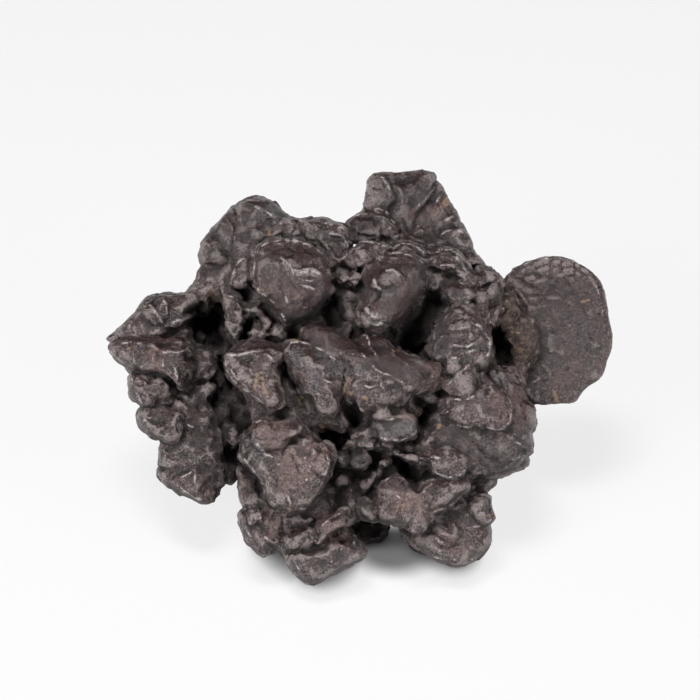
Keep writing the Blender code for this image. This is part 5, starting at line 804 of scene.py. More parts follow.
PATCHES = (
    # The disc's body.
    Patch("slate", 6.5, ((34.0, 7.0), (35.5, 1.0), (34.0, -2.0))),
    Patch("slate", 3.2, ((-13.0, 13.0), (-9.6, 7.6))),
    Patch("slate", 3.0, ((4.6, 12.0), (7.2, 5.6))),
    Patch("slate", 5.0, ((8.0, 24.4), (12.0, 18.0))),
    Patch("slate", 3.0, ((4.0, 19.4), (8.0, 18.6))),
    # The left wing.
    Patch("ochre", 0.35, ((-28.5, 3.0), (-27.0, 3.0))),
    Patch("ochre", 0.25, ((-35.5, 0.2), (-35.2, 0.3))),
    Patch("ochre", 0.25, ((-33.0, 7.0), (-32.8, 7.0))),
    Patch("pale", 0.7, ((-38.0, 1.6), (-36.6, 3.8))),
    Patch("dark", 0.5, ((-38.5, 0.8), (-34.0, 1.7), (-26.0, 1.8))),
    Patch("brown", 1.4, ((-31.2, -0.4), (-31.2, -3.2))),
    Patch("white", 0.2, ((-28.6, -8.3), (-28.5, -8.2))),
    Patch("pale", 0.5, ((-23.4, -5.8), (-23.0, -5.6))),
    Patch("pale", 0.5, ((-34.8, 5.4), (-31.6, 6.4))),
    Patch("pale", 0.8, ((-38.0, -0.6), (-36.2, -1.6))),
    Patch("pale", 0.8, ((-28.6, -6.4), (-26.8, -7.2))),
    Patch("pale", 0.5, ((-32.8, -3.9), (-31.6, -4.3))),
    Patch("dark", 1.2, ((-24.6, -9.6), (-25.0, -12.4), (-24.4, -15.0))),
    Patch("dark", 1.3, ((-25.2, -19.2), (-22.2, -21.6))),
    # The crown and its brow.
    Patch("pale", 0.8, ((-12.6, 20.4), (-10.4, 19.8))),
    Patch("pale", 0.7, ((-21.4, 16.6), (-20.0, 15.8))),
    Patch("pale", 0.6, ((-9.6, 14.2), (-8.2, 13.4))),
    Patch("pale", 0.8, ((-1.4, 19.4), (1.6, 17.8))),
    Patch("pale", 0.6, ((-1.0, 13.9), (0.8, 13.5))),
    Patch("dark", 1.2, ((-6.6, 8.4), (-4.6, 8.2))),
    Patch("bright", 0.3, ((-8.0, 12.4), (-6.4, 12.6), (-5.0, 12.3))),
    Patch("pale", 0.6, ((-8.2, 12.0), (-6.4, 12.2), (-4.8, 11.8))),
    Patch("bright", 0.2, ((-11.2, 14.8), (-9.6, 13.6), (-9.0, 12.2))),
    Patch("pale", 0.4, ((-10.4, 14.2), (-9.6, 12.0))),
    Patch("brown", 2.6, ((-12.4, 9.8), (-9.6, 8.0), (-5.6, 7.4))),
    Patch("hollow", 0.9, ((-10.2, 5.0), (-7.4, 5.0), (-4.8, 6.6), (-3.8, 8.8))),
    Patch("dark", 0.8, ((-9.4, 10.6), (-7.0, 9.0), (-5.0, 9.0))),
    Patch("dark", 0.5, ((-8.8, 11.4), (-7.0, 11.6), (-4.6, 11.2), (-3.9, 12.6))),
    Patch("dark", 0.35, ((-13.8, 12.4), (-13.4, 10.4), (-12.4, 11.4))),
    Patch("bright", 0.25, ((-7.6, 10.3), (-6.2, 10.0))),
    Patch("bright", 0.25, ((-10.3, 8.4), (-10.0, 7.6))),
    Patch("dark", 1.1, ((-13.2, 15.8), (-9.0, 16.2), (-5.4, 15.0))),
    Patch("dark", 2.2, ((-11.8, 7.4), (-8.6, 5.8), (-5.6, 7.6), (-4.4, 10.2))),
    Patch("ochre", 0.35, ((-13.0, 18.1), (-12.9, 18.9))),
    Patch("ochre", 0.35, ((-14.7, 7.5), (-14.8, 7.7))),
    Patch("ochre", 0.35, ((-14.8, 9.5), (-14.7, 9.6))),
    Patch("pale", 0.5, ((-14.0, 4.7), (-12.4, 4.8))),
    Patch("pale", 0.8, ((-12.2, 3.2), (-10.4, 3.0))),
    Patch("pale", 0.5, ((-16.4, 3.0), (-14.8, 3.0))),
    Patch("ochre", 0.55, ((-9.4, 2.0), (-8.6, 1.8))),
    Patch("slate", 3.6, ((-20.4, 17.0), (-17.0, 19.4), (-12.6, 21.4))),
    Patch("slate", 2.0, ((-6.0, 18.6), (-2.4, 16.4))),
    Patch("pale", 0.7, ((-17.6, 19.2), (-15.4, 20.4))),
    Patch("pale", 0.5, ((-13.2, 19.4), (-8.6, 19.6))),
    # The peak.
    Patch("pale", 1.3, ((3.6, 26.8), (6.4, 26.0))),
    Patch("pale", 0.6, ((6.6, 16.2), (8.2, 15.8))),
    Patch("pale", 0.6, ((18.4, 14.2), (19.4, 13.4))),
    Patch("pale", 0.9, ((3.2, 25.6), (4.8, 24.6))),
    Patch("dark", 1.2, ((1.0, 20.6), (3.6, 20.2))),
    Patch("pale", 0.5, ((16.6, 18.6), (17.8, 19.2))),
    Patch("pale", 0.6, ((18.9, 14.0), (20.4, 14.4))),
    Patch("ochre", 0.6, ((15.0, 23.2), (15.9, 24.3))),
    Patch("white", 0.2, ((6.4, 19.5), (6.5, 19.6))),
    Patch("white", 0.2, ((7.7, 18.2), (7.8, 18.2))),
    Patch("white", 0.2, ((0.9, 19.0), (0.9, 19.1))),
    Patch("ochre", 0.25, ((1.2, 18.4), (1.4, 18.5))),
    Patch("brown", 1.4, ((9.5, 21.5), (13.5, 22.0))),
    # The knob in the middle.
    Patch("dark", 2.2, ((8.4, 4.6), (10.4, 8.6), (11.2, 12.0), (9.6, 14.2))),
    Patch("dark", 1.5, ((5.4, 6.8), (7.6, 7.8))),
    Patch("dark", 0.5, ((3.0, 9.0), (3.4, 12.6), (5.2, 13.8), (8.0, 13.2))),
    Patch("dark", 0.5, ((4.6, 10.2), (6.8, 9.9), (8.4, 10.6))),
    Patch("hollow", 0.5, ((2.0, 8.4), (2.2, 11.6))),
    Patch("hollow", 0.8, ((8.6, 3.6), (10.6, 6.6), (11.6, 9.4))),
    Patch("hollow", 0.3, ((8.8, 13.0), (9.4, 11.0), (9.2, 9.2))),
    Patch("dark", 1.0, ((2.6, 8.6), (2.8, 12.4))),
    Patch("grey", 0.8, ((3.8, 8.8), (7.6, 8.8))),
    Patch("brown", 1.8, ((5.0, 6.8), (8.4, 7.6), (8.6, 10.2))),
    Patch("pale", 1.1, ((5.8, 11.5), (7.2, 11.9))),
    Patch("bright", 0.25, ((5.8, 12.7), (7.0, 12.8), (7.8, 12.0))),
    Patch("bright", 0.3, ((3.8, 11.2), (4.2, 10.2), (4.8, 9.8))),
    Patch("bright", 0.4, ((2.6, 6.6), (3.6, 5.8))),
    Patch("bright", 0.35, ((4.2, 4.4), (5.0, 4.2))),
    Patch("pale", 0.6, ((1.6, 5.6), (2.2, 4.6))),
    Patch("pale", 0.8, ((4.2, 5.2), (5.4, 6.2))),
    Patch("pale", 0.5, ((9.4, 11.0), (9.7, 12.2))),
    Patch("ochre", 0.4, ((7.0, 0.0), (8.6, 0.2))),
    # The right side.
    Patch("hollow", 1.4, ((14.2, 5.0), (14.8, 2.6), (14.8, 0.0))),
    Patch("dark", 1.2, ((15.2, 10.4), (17.2, 9.6))),
    Patch("pale", 0.8, ((16.4, -1.8), (17.2, -2.8))),
    Patch("pale", 0.5, ((13.9, 0.1), (14.9, -0.2))),
    Patch("pale", 0.8, ((22.6, 8.8), (23.2, 9.8))),
    Patch("dark", 0.4, ((21.6, 5.4), (21.6, 6.7))),
    Patch("earth", 2.0, ((25.6, 8.4), (25.9, 4.0), (26.6, -1.2))),
    Patch("earth", 1.5, ((28.0, 3.6), (28.4, -1.4))),
    Patch("hollow", 0.35, ((26.4, 5.6), (27.2, 4.2))),
    Patch("hollow", 0.3, ((26.8, 1.6), (27.8, 0.2))),
    Patch("hollow", 0.35, ((28.4, -2.4), (29.4, -0.6), (30.2, 1.6))),
    Patch("ochre", 0.25, ((25.0, 7.7), (25.3, 8.3))),
    Patch("ochre", 0.25, ((26.8, 2.8), (27.1, 2.7))),
    Patch("pale", 0.5, ((26.8, 0.8), (29.0, 0.9))),
    Patch("pale", 0.6, ((16.2, 3.6), (19.0, 4.0))),
    Patch("pale", 0.5, ((18.2, 7.2), (20.6, 8.0))),
    # The disc.
    Patch("pale", 0.45, ((27.6, 12.6), (29.2, 13.2))),
    Patch("pale", 0.45, ((29.9, 13.8), (31.6, 14.3))),
    Patch("pale", 0.4, ((30.2, 12.7), (31.6, 13.1))),
    Patch("pale", 0.4, ((28.3, 11.4), (29.4, 11.6))),
    Patch("pale", 0.35, ((29.7, 10.9), (31.2, 11.2))),
    Patch("pale", 0.4, ((32.6, 13.9), (33.3, 14.1))),
    Patch("pale", 0.35, ((32.6, 12.7), (33.0, 12.9))),
    Patch("pale", 0.45, ((34.2, 13.6), (35.0, 14.0))),
    Patch("pale", 0.5, ((34.5, 12.6), (35.4, 12.8))),
    Patch("pale", 0.35, ((33.3, 12.0), (33.9, 12.0))),
    Patch("pale", 0.35, ((36.2, 13.7), (36.5, 13.5))),
    Patch("pale", 0.45, ((37.3, 12.8), (37.7, 12.6))),
    Patch("pale", 0.3, ((36.3, 12.3), (36.7, 12.1))),
    Patch("pale", 0.3, ((38.4, 11.6), (39.4, 10.2))),
    Patch("pale", 0.4, ((26.2, 10.9), (27.6, 9.9), (29.0, 9.4))),
    Patch("pale", 0.35, ((28.8, 8.2), (29.7, 8.2))),
    Patch("pale", 0.4, ((32.0, 8.4), (33.3, 8.4))),
    Patch("pale", 0.4, ((28.8, 6.8), (29.4, 6.7))),
    Patch("ochre", 0.25, ((37.0, 7.7), (38.2, 8.0))),
    Patch("dark", 0.5, ((30.8, -3.0), (31.2, -3.8))),
    Patch("ochre", 0.35, ((32.7, -6.7), (33.1, -8.2))),
    Patch("brown", 1.6, ((33.0, -5.0), (36.0, -3.0))),
    # The teeth and the ledge.
    Patch("dark", 1.0, ((-17.6, 0.9), (-12.0, 1.0))),
    Patch("ochre", 0.3, ((-14.8, -3.8), (-15.3, -6.2))),
    Patch("ochre", 0.3, ((-14.0, -4.4), (-13.8, -6.0), (-13.2, -7.4))),
    Patch("ochre", 0.55, ((-7.9, -7.6), (-7.6, -8.6))),
    Patch("grey", 1.5, ((-8.6, -0.6), (-8.4, -2.2))),
    Patch("grey", 1.1, ((-5.8, -4.2), (-5.9, -6.0))),
    Patch("grey", 1.3, ((-4.6, -0.8), (-2.4, -3.4))),
    Patch("dark", 1.5, ((-8.0, 1.8), (-4.0, 3.2), (1.0, 2.2), (6.0, 0.4), (12.0, -4.6))),
    Patch("pale", 0.55, ((-3.4, -0.3), (-2.2, -0.7))),
    Patch("pale", 0.4, ((-0.8, -1.2), (2.0, -1.7))),
    Patch("grey", 0.9, ((1.3, -2.8), (2.5, -3.2))),
    Patch("pale", 0.5, ((6.0, -5.2), (9.8, -6.2))),
    Patch("dark", 1.7, ((-5.4, 1.6), (-1.6, 1.0), (3.0, -1.6), (7.0, -3.2), (11.4, -4.8))),
    Patch("hollow", 0.9, ((-8.8, -7.6), (-8.2, -9.8))),
    Patch("pale", 0.8, ((-11.6, -1.4), (-11.2, -3.0))),
    Patch("ochre", 0.35, ((-0.2, -4.6), (-0.9, -5.8), (-1.1, -7.0))),
    Patch("ochre", 0.35, ((-0.3, -6.8), (0.2, -6.9))),
    Patch("ochre", 0.35, ((2.1, -7.6), (2.7, -7.8))),
    Patch("ochre", 0.35, ((-2.2, -13.3), (-1.8, -13.5))),
    Patch("ochre", 0.35, ((-4.8, -12.0), (-4.4, -12.3))),
    Patch("brown", 1.5, ((12.8, -2.6), (14.6, -6.2))),
    Patch("ochre", 0.25, ((14.8, -4.6), (15.0, -4.6))),
    Patch("pale", 0.7, ((-19.4, -1.2), (-16.6, -4.6))),
    # The nuts between the boulders.
    Patch("pale", 1.0, ((4.6, -10.2), (6.0, -10.4))),
    Patch("grey", 1.7, ((5.2, -12.8), (9.4, -12.8))),
    Patch("brown", 1.2, ((8.2, -10.2), (10.2, -10.4))),
    Patch("ochre", 0.5, ((14.1, -12.2), (14.3, -12.2))),
    Patch("ochre", 0.25, ((11.3, -9.4), (11.5, -9.4))),
    # The rimmed boulder and the flank below it.
    Patch("pale", 1.6, ((17.4, -4.2), (18.6, -6.0))),
    Patch("pale", 0.8, ((21.0, -7.0), (22.2, -6.4))),
    Patch("brown", 1.7, ((23.6, -7.4), (24.6, -10.4))),
    Patch("grey", 0.9, ((23.4, -4.4), (24.8, -4.6))),
    Patch("pale", 0.7, ((26.2, -4.2), (26.8, -4.8))),
    Patch("brown", 2.2, ((27.0, -7.8), (27.2, -11.4))),
    Patch("slate", 2.4, ((22.4, -16.0), (27.0, -17.4))),
    Patch("slate", 2.0, ((26.4, -12.4), (28.4, -13.6))),
    Patch("white", 0.2, ((26.4, -13.4), (26.4, -13.3))),
    Patch("white", 0.2, ((27.6, -17.5), (27.6, -17.4))),
    Patch("pale", 0.5, ((15.0, -18.4), (16.4, -18.6))),
    Patch("pale", 0.8, ((14.0, -6.0), (15.2, -7.0))),
    Patch("hollow", 1.0, ((13.6, -11.6), (15.0, -13.2))),
    Patch("dark", 1.6, ((16.0, -13.2), (19.6, -15.4), (23.0, -18.4))),
    Patch("dark", 0.9, ((22.0, -9.6), (23.2, -10.0))),
    Patch("pale", 0.6, ((11.6, -18.0), (12.8, -19.0))),
    # The boulder in front.
    Patch("pale", 0.9, ((-12.6, -10.4), (-10.6, -11.0))),
    Patch("dark", 1.0, ((-8.4, -14.8), (-7.8, -16.4))),
    Patch("pale", 1.0, ((-5.2, -13.4), (-2.0, -13.9))),
    Patch("pale", 0.8, ((-14.4, -20.2), (-13.0, -22.4))),
    Patch("pale", 0.9, ((-17.8, -10.8), (-16.6, -12.4))),
    Patch("brown", 3.0, ((-13.0, -13.0), (-9.6, -16.6), (-9.4, -21.0), (-5.6, -17.2))),
    Patch("white", 0.2, ((-11.4, -18.3), (-11.3, -18.3))),
    Patch("ochre", 0.25, ((-9.6, -17.5), (-9.5, -17.4))),
    Patch("white", 0.2, ((-8.8, -18.6), (-8.7, -18.6))),
    Patch("white", 0.2, ((-7.2, -17.3), (-7.1, -17.2))),
    Patch("white", 0.2, ((-6.4, -18.6), (-6.3, -18.6))),
    Patch("white", 0.2, ((-7.0, -20.8), (-6.9, -20.8))),
    Patch("white", 0.2, ((-10.0, -11.5), (-9.9, -11.5))),
    Patch("grey", 1.3, ((-16.0, -14.0), (-14.4, -16.4))),
    Patch("ochre", 0.35, ((-9.8, -25.5), (-9.4, -25.7))),
    # The lower left and the recess.
    Patch("hollow", 1.3, ((1.2, -28.2), (5.4, -28.0))),
    Patch("hollow", 0.9, ((1.4, -30.6), (4.0, -31.0), (6.4, -29.4))),
    Patch("grey", 1.3, ((0.8, -17.4), (2.4, -18.0))),
    Patch("slate", 1.6, ((0.8, -17.4), (2.4, -18.0))),
    Patch("brown", 1.3, ((-17.2, -21.0), (-17.0, -22.4))),
    Patch("brown", 1.8, ((-13.6, -26.6), (-12.0, -29.4))),
    Patch("brown", 2.2, ((-3.6, -27.0), (-1.4, -30.0))),
    Patch("dark", 1.0, ((-0.2, -30.8), (1.2, -30.8))),
    Patch("white", 0.2, ((-3.0, -33.8), (-2.9, -33.8))),
    Patch("white", 0.2, ((-1.4, -32.0), (-1.4, -31.9))),
    Patch("ochre", 0.35, ((-3.1, -30.0), (-2.9, -30.0))),
    Patch("hollow", 0.9, ((0.8, -23.2), (3.2, -25.2))),
    # The lower right.
    Patch("dark", 1.2, ((7.0, -21.4), (9.2, -21.8))),
    Patch("pale", 0.9, ((13.4, -26.6), (14.8, -27.4))),
    Patch("pale", 0.6, ((6.4, -29.8), (8.0, -30.4))),
    Patch("brown", 2.6, ((8.0, -22.6), (12.0, -25.6))),
    Patch("pale", 0.4, ((4.9, -22.4), (6.4, -22.7))),
    Patch("white", 0.2, ((7.6, -23.4), (8.0, -23.6))),
    Patch("ochre", 0.2, ((7.2, -26.2), (8.0, -24.2))),
    Patch("ochre", 0.2, ((8.3, -25.6), (8.9, -24.0))),
    Patch("ochre", 0.15, ((9.0, -25.7), (9.4, -24.8))),
    Patch("ochre", 0.35, ((22.3, -26.4), (22.5, -26.4))),
    Patch("pale", 0.5, ((13.8, -28.1), (14.8, -28.1))),
    Patch("dark", 0.4, ((18.6, -28.8), (18.8, -28.9))),
    Patch("white", 0.2, ((16.7, -33.6), (16.8, -33.6))),
    Patch("white", 0.2, ((19.5, -33.5), (19.5, -33.4))),
    Patch("brown", 1.6, ((14.4, -30.4), (17.4, -31.6))),
    # Smooth crust.
    Patch("smooth", 2.4, ((-12.4, 13.6), (-10.6, 11.4))),
    Patch("smooth", 2.2, ((5.4, 12.6), (6.8, 9.0))),
    Patch("smooth", 4.0, ((6.4, 24.6), (12.6, 23.0), (16.0, 17.0))),
    Patch("smooth", 2.0, ((-33.6, 5.2), (-27.4, 6.4))),
    Patch("smooth", 1.0, ((-37.6, 1.2), (-26.6, 2.2))),
    Patch("smooth", 2.2, ((-33.0, -1.8), (-27.0, -3.0))),
    Patch("smooth", 3.6, ((-18.0, 19.0), (-13.0, 21.6))),
    Patch("smooth", 2.2, ((-8.4, 0.2), (-7.2, -4.6), (-3.0, -2.0))),
    Patch("smooth", 2.4, ((-6.4, 2.4), (0.6, 1.6), (8.8, -2.6))),
    Patch("smooth", 1.6, ((3.0, -5.8), (9.6, -6.4))),
    Patch("smooth", 2.0, ((5.0, -11.0), (9.4, -12.6))),
    Patch("smooth", 2.0, ((-25.0, -20.8), (-26.2, -21.8))),
    Patch("smooth", 2.4, ((-2.8, -28.6), (-5.4, -33.6), (-1.4, -34.0))),
    Patch("smooth", 3.0, ((27.0, -8.4), (26.0, -15.6))),
    Patch("smooth", 1.6, ((-15.6, -14.6), (-13.6, -17.6))),
    # Even crust that is grainy all the same.
    Patch("even", 4.4, ((-12.4, -14.0), (-9.6, -20.0), (-8.0, -22.0))),
    Patch("even", 3.0, ((8.0, -23.4), (15.0, -22.6))),
    Patch("even", 4.0, ((13.6, -30.6), (18.6, -30.8))),
    Patch("even", 3.4, ((18.8, -8.6), (22.6, -8.6))),
    Patch("even", 2.0, ((-14.0, -29.0), (-15.4, -27.0))),
    Patch("even", 2.4, ((15.0, -17.4), (16.4, -18.0))),
    # Painted shade in hollows and gaps, and earth in some of them.
    Patch("hollow", 1.6, ((-25.0, 6.4), (-22.4, 4.8), (-21.4, 1.6))),
    Patch("hollow", 1.0, ((-21.0, 0.6), (-20.8, -2.6), (-19.6, -6.6))),
    Patch("hollow", 0.8, ((-24.4, -8.2), (-21.6, -9.0))),
    Patch("hollow", 0.5, ((-24.2, -13.4), (-22.8, -13.6))),
    Patch("hollow", 0.8, ((-19.4, -16.4), (-18.6, -20.4))),
    Patch("hollow", 0.7, ((-18.2, 9.4), (-16.6, 8.8))),
    Patch("hollow", 0.5, ((-12.2, 4.3), (-12.6, 3.3))),
    Patch("hollow", 0.7, ((-9.6, 3.7), (-8.4, 3.0))),
    Patch("hollow", 1.6, ((-3.0, 7.4), (-1.4, 4.6))),
    Patch("hollow", 2.3, ((13.6, 7.4), (11.8, 4.0), (9.8, 1.2))),
    Patch("hollow", 1.0, ((23.6, 3.2), (24.2, 0.2), (25.0, -2.4))),
    Patch("hollow", 0.6, ((25.8, 9.2), (27.2, 8.0), (28.2, 6.0))),
    Patch("hollow", 0.5, ((29.6, 4.2), (30.4, 1.4))),
    Patch("hollow", 1.5, ((-0.2, -8.8), (0.8, -11.8))),
    Patch("earth", 0.9, ((-4.6, -12.2), (-2.0, -13.0))),
    Patch("earth", 0.8, ((10.8, -8.8), (12.0, -9.6))),
    Patch("earth", 0.8, ((-22.4, 9.0), (-20.4, 7.4))),
    Patch("hollow", 1.2, ((10.8, -8.2), (13.2, -9.6))),
    Patch("hollow", 0.7, ((11.6, -12.2), (14.6, -12.4))),
    Patch("hollow", 0.7, ((16.6, -13.2), (18.6, -13.6))),
    Patch("hollow", 0.35, ((6.8, -14.8), (9.8, -15.2))),
    Patch("hollow", 1.0, ((7.6, -18.6), (10.4, -19.8))),
    Patch("hollow", 0.6, ((0.9, -19.2), (0.9, -22.6))),
    Patch("hollow", 0.6, ((-3.6, -23.4), (-1.6, -23.6))),
    Patch("hollow", 0.6, ((15.6, -26.2), (17.4, -26.4))),
)

# The colour of each kind, and how much it covers. The first kinds are mottled as the crust is, and the others aren't.
MOTTLED_KINDS = {
    # grey: the crust's grey, and in part painted sheen on faces turned to the lamps.
    "grey": ((0.055, 0.052, 0.054, 1), 0.72),
    "brown": ((0.105, 0.060, 0.052, 1), 0.6),
    # pale: paler crust, and in part painted sheen on facets turned to the lamps.
    "pale": ((0.175, 0.145, 0.140, 1), 0.75),
}
PLAIN_KINDS = {
    "slate": ((0.012, 0.009, 0.009, 1), 0.36),
    # Painted shade, in the crust's dark reddish tone.
    "dark": ((0.024, 0.0115, 0.0115, 1), 0.76),
    "earth": ((0.030, 0.018, 0.013, 1), 0.8),
    # Painted shade in hollows and gaps.
    "hollow": ((0.019, 0.014, 0.0135, 1), 0.78),
    # Painted highlight on facets turned to the lamps.
    "bright": ((0.31, 0.285, 0.285, 1), 0.72),
    "ochre": ((0.20, 0.125, 0.078, 1), 0.85),
    "white": ((0.45, 0.42, 0.40, 1), 0.9),
}


def from_view(right, up, near):
    """The point, in millimetres, that the eye sees at (right, up) and that stands out by near."""
    shrink = 1 - near / EYE_DISTANCE
    right, up = right * shrink, up * shrink
    back = up * math.sin(LOOK_DOWN) - near * math.cos(LOOK_DOWN)
    high = up * math.cos(LOOK_DOWN) + near * math.sin(LOOK_DOWN) + MIDDLE_HEIGHT
    return Vector((right, back, high))


def to_view(place):
    """(right, up, near) of a point, the other way round from from_view."""
    high = place.z - MIDDLE_HEIGHT
    near = high * math.sin(LOOK_DOWN) - place.y * math.cos(LOOK_DOWN)
    up = high * math.cos(LOOK_DOWN) + place.y * math.sin(LOOK_DOWN)
    grow = 1 / (1 - near / EYE_DISTANCE)
    return place.x * grow, up * grow, near


def closed_curve(points, count):
    """count points along a smooth closed curve through the given ones (a Catmull-Rom spline)."""
    curve = []
    total = len(points)
    for step in range(count):
        at = step * total / count
        i = int(at)
        t = at - i
        p0, p1, p2, p3 = (Vector(points[(i + k) % total]) for k in (-1, 0, 1, 2))
        curve.append(
            0.5 * (2 * p1 + (p2 - p0) * t + (2 * p0 - 5 * p1 + 4 * p2 - p3) * t**2
                   + (3 * p1 - p0 - 3 * p2 + p3) * t**3))
    return curve


def facets(chance):
    """Seeded planes that cut a lump of radius 1: a direction and how far out each plane is."""
    planes = []
    for _ in range(FACETS):
        way = Vector([chance.gauss(0, 1) for _ in range(3)]).normalized()
        planes.append((way, chance.uniform(*FACET_DEPTHS)))
    return planes


def cut_back(way, planes):
    """How much of a lump's radius is left, in a direction, under its planes."""
    left = 1.0
    for plane, depth in planes:
        facing = way.dot(plane)
        if facing > depth:
            left = min(left, depth / facing)
    return left


def add_knob(mesh, knob):
    """Lofts a knob: its outline is its widest ring, which closes in towards the eye and the inside."""
    outline = closed_curve(knob.outline, RING_POINTS)
    middle = sum(outline, Vector((0, 0))) / len(outline)
    chance = random.Random(knob.name)
    planes = facets(chance) + [(TOP_WAY, chance.uniform(*TOP_CUT))]
    shoulder = knob.near + knob.front * (1 - DOME)
    rings = []
    for step in range(-RINGS + 1, RINGS):
        angle = step / RINGS * math.pi / 2
        width = math.cos(angle) ** SQUARENESS * SWELL
        reach = knob.front * DOME if step > 0 else knob.back + knob.front * (1 - DOME)
        near = shoulder + reach * math.copysign(abs(math.sin(angle)) ** SQUARENESS, angle)
        ring = []
        for point in outline:
            out = (point - middle) * width
            way = Vector((*((point - middle).normalized() * math.cos(angle)), math.sin(angle)))
            left = 1 - (1 - cut_back(way, planes)) * max(0, math.sin(angle))
            stand = shoulder + (near - shoulder) * left
            ring.append(mesh.verts.new(from_view(*(middle + out * left), stand - LEAN * out.y)))
        rings.append(ring)
    for lower, upper in zip(rings, rings[1:]):
        for i, start in enumerate(lower):
            j = (i + 1) % RING_POINTS
            mesh.faces.new((start, lower[j], upper[j], upper[i]))
    front_left = cut_back(Vector((0, 0, 1)), planes)
    back_tip = knob.near - knob.back
    front_tip = shoulder + knob.front * DOME * front_left
    for ring, tip_near in ((rings[0], back_tip), (rings[-1], front_tip)):
        tip = mesh.verts.new(from_view(*middle, tip_near))
        for i, start in enumerate(ring):
            mesh.faces.new((start, ring[(i + 1) % RING_POINTS], tip))


def add_pebbles(mesh):
    for right, up, near, radius in EARTHY_PEBBLES:
        middle = Matrix.Translation(from_view(right, up, near))
        bmesh.ops.create_icosphere(mesh, subdivisions=2, radius=radius, matrix=middle)


def add_boulder(mesh, centre, radii, chance):
    """A lump with flattened sides."""
    planes = facets(chance)
    ball = bmesh.ops.create_icosphere(mesh, subdivisions=3, radius=1)
    for vertex in ball["verts"]:
        way = vertex.co.normalized()
        left = cut_back(way, planes)
        vertex.co = centre + Vector(a * b * left for a, b in zip(way, radii))


def add_hidden_sides(mesh):
    """Lumps on the back, the sides and underneath, on a spiral of directions, and the feet at the back."""
    chance = random.Random(HIDDEN_SEED)
    towards_eye = Vector((0, -math.cos(LOOK_DOWN), math.sin(LOOK_DOWN)))
    golden_angle = math.pi * (3 - math.sqrt(5))
    for i in range(HIDDEN_COUNT):
        z = 1 - 2 * (i + 0.5) / HIDDEN_COUNT
        flat = math.sqrt(1 - z * z)
        way = Vector((math.cos(golden_angle * i) * flat, math.sin(golden_angle * i) * flat, z))
        size = chance.uniform(*HIDDEN_SIZES)
        reach = chance.uniform(0.84, 1.12)
        radii = [size * chance.uniform(0.8, 1.2) for _ in range(3)]
        if way.dot(towards_eye) > -0.12:
            continue
        centre = Vector(a + b * c * reach for a, b, c in zip(HIDDEN_CENTRE, HIDDEN_RADII, way))
        centre.z = max(centre.z, size * 1.2 + 1)
        add_boulder(mesh, centre, radii, chance)
    for x, y, size in BACK_FEET:
        add_boulder(mesh, Vector((x, y, size - 1.2)), (size, size, size), chance)


def stone_mesh():
    mesh = bmesh.new()
    for part in (LEFT_WING, CROWN, BACK_PEAK, CENTRE, RIGHT_SIDE, DISC, LOWER_PART, MASSES):
        for knob in part:
            add_knob(mesh, knob)
    add_pebbles(mesh)
    add_hidden_sides(mesh)
    bmesh.ops.recalc_face_normals(mesh, faces=mesh.faces)
    return mesh


def evaluated(thing):
    """The mesh of an object with its modifiers worked out, which are then taken off it."""
    ready = thing.evaluated_get(bpy.context.evaluated_depsgraph_get())
    data = bpy.data.meshes.new_from_object(ready)
    thing.modifiers.clear()
    return data


def fuse(stone):
    remesh = stone.modifiers.new("fuse", "REMESH")
    remesh.mode = "VOXEL"
    remesh.voxel_size = VOXEL
    stone.data = evaluated(stone)


def bump(place, wave):
    """A rounded bump's height at a place: 0 in the creases between bumps, and about 1 at the highest."""
    return abs(noise.noise(place / wave))


def dimple(place, wave):
    """0 at the bottom of a dimple, and rising to the ridge where it meets the next."""
    bent = place / wave + BEND * noise.noise_vector(place / BEND_WAVE)
    distances, _ = noise.voronoi(bent)
    return distances[0] ** 2


def on_disc(place):
    """1 on the disc, as the eye sees it, and 0 away from it."""
    right, up, _ = to_view(place)
    away = math.hypot((right - DISC_PLACE[0]) / DISC_RADII[0], (up - DISC_PLACE[1]) / DISC_RADII[1])
    return min(1, max(0, 4 * (1.15 - away)))


def swelling(place, hidden):
    """How far the surface stands out; hidden is 0 where the eye sees it and 1 on the side away from it."""
    calm = 1 - (1 - DISC_ROUGHNESS) * on_disc(place)
    height = calm * DIMPLE_DEPTH * (dimple(place, DIMPLE_WAVE) - MEAN_DIMPLE)
    return height + hidden * calm * HIDDEN_HEIGHT * (bump(place, HIDDEN_WAVE) - MEAN_BUMP)


def stand_on_ground(stone):
    """Cuts the feet flat where the stone rests."""
    mesh = bmesh.new()
    mesh.from_mesh(stone.data)
    everything = mesh.verts[:] + mesh.edges[:] + mesh.faces[:]
    ground = {"plane_co": (0, 0, 0), "plane_no": (0, 0, 1)}
    cut = bmesh.ops.bisect_plane(mesh, geom=everything, clear_inner=True, **ground)
    rim = [part for part in cut["geom_cut"] if isinstance(part, bmesh.types.BMEdge)]
    bmesh.ops.holes_fill(mesh, edges=rim)
    bmesh.ops.recalc_face_normals(mesh, faces=mesh.faces)
    mesh.to_mesh(stone.data)


def flat_faces(place):
    """Flat faces that each slant their own way, with low steps between them."""
    bent = place / FACE_WAVE + FACE_BEND * noise.noise_vector(place / FACE_WAVE)
    middle = noise.voronoi(bent)[1][0]
    slant = noise.cell_vector(middle * 17.3) - Vector((0.5, 0.5, 0.5))
    return FACE_SLANT * slant.dot(bent - middle)


def wrinkles(place):
    """Fine ridges with shallow dimples between them."""
    ridge = 1 - 2 * abs(noise.noise(place / WRINKLE_WAVE + Vector((3, 9, 5))))
    grain = noise.noise(place / GRAIN_WAVE)
    small = SMALL_DIMPLE_DEPTH * (dimple(place, SMALL_DIMPLE_WAVE) - MEAN_DIMPLE)
    calm = 1 - 0.6 * on_disc(place)
    return calm * (flat_faces(place) + small + WRINKLE_HEIGHT * (ridge * ridge - MEAN_RIDGE) + GRAIN_HEIGHT * grain)


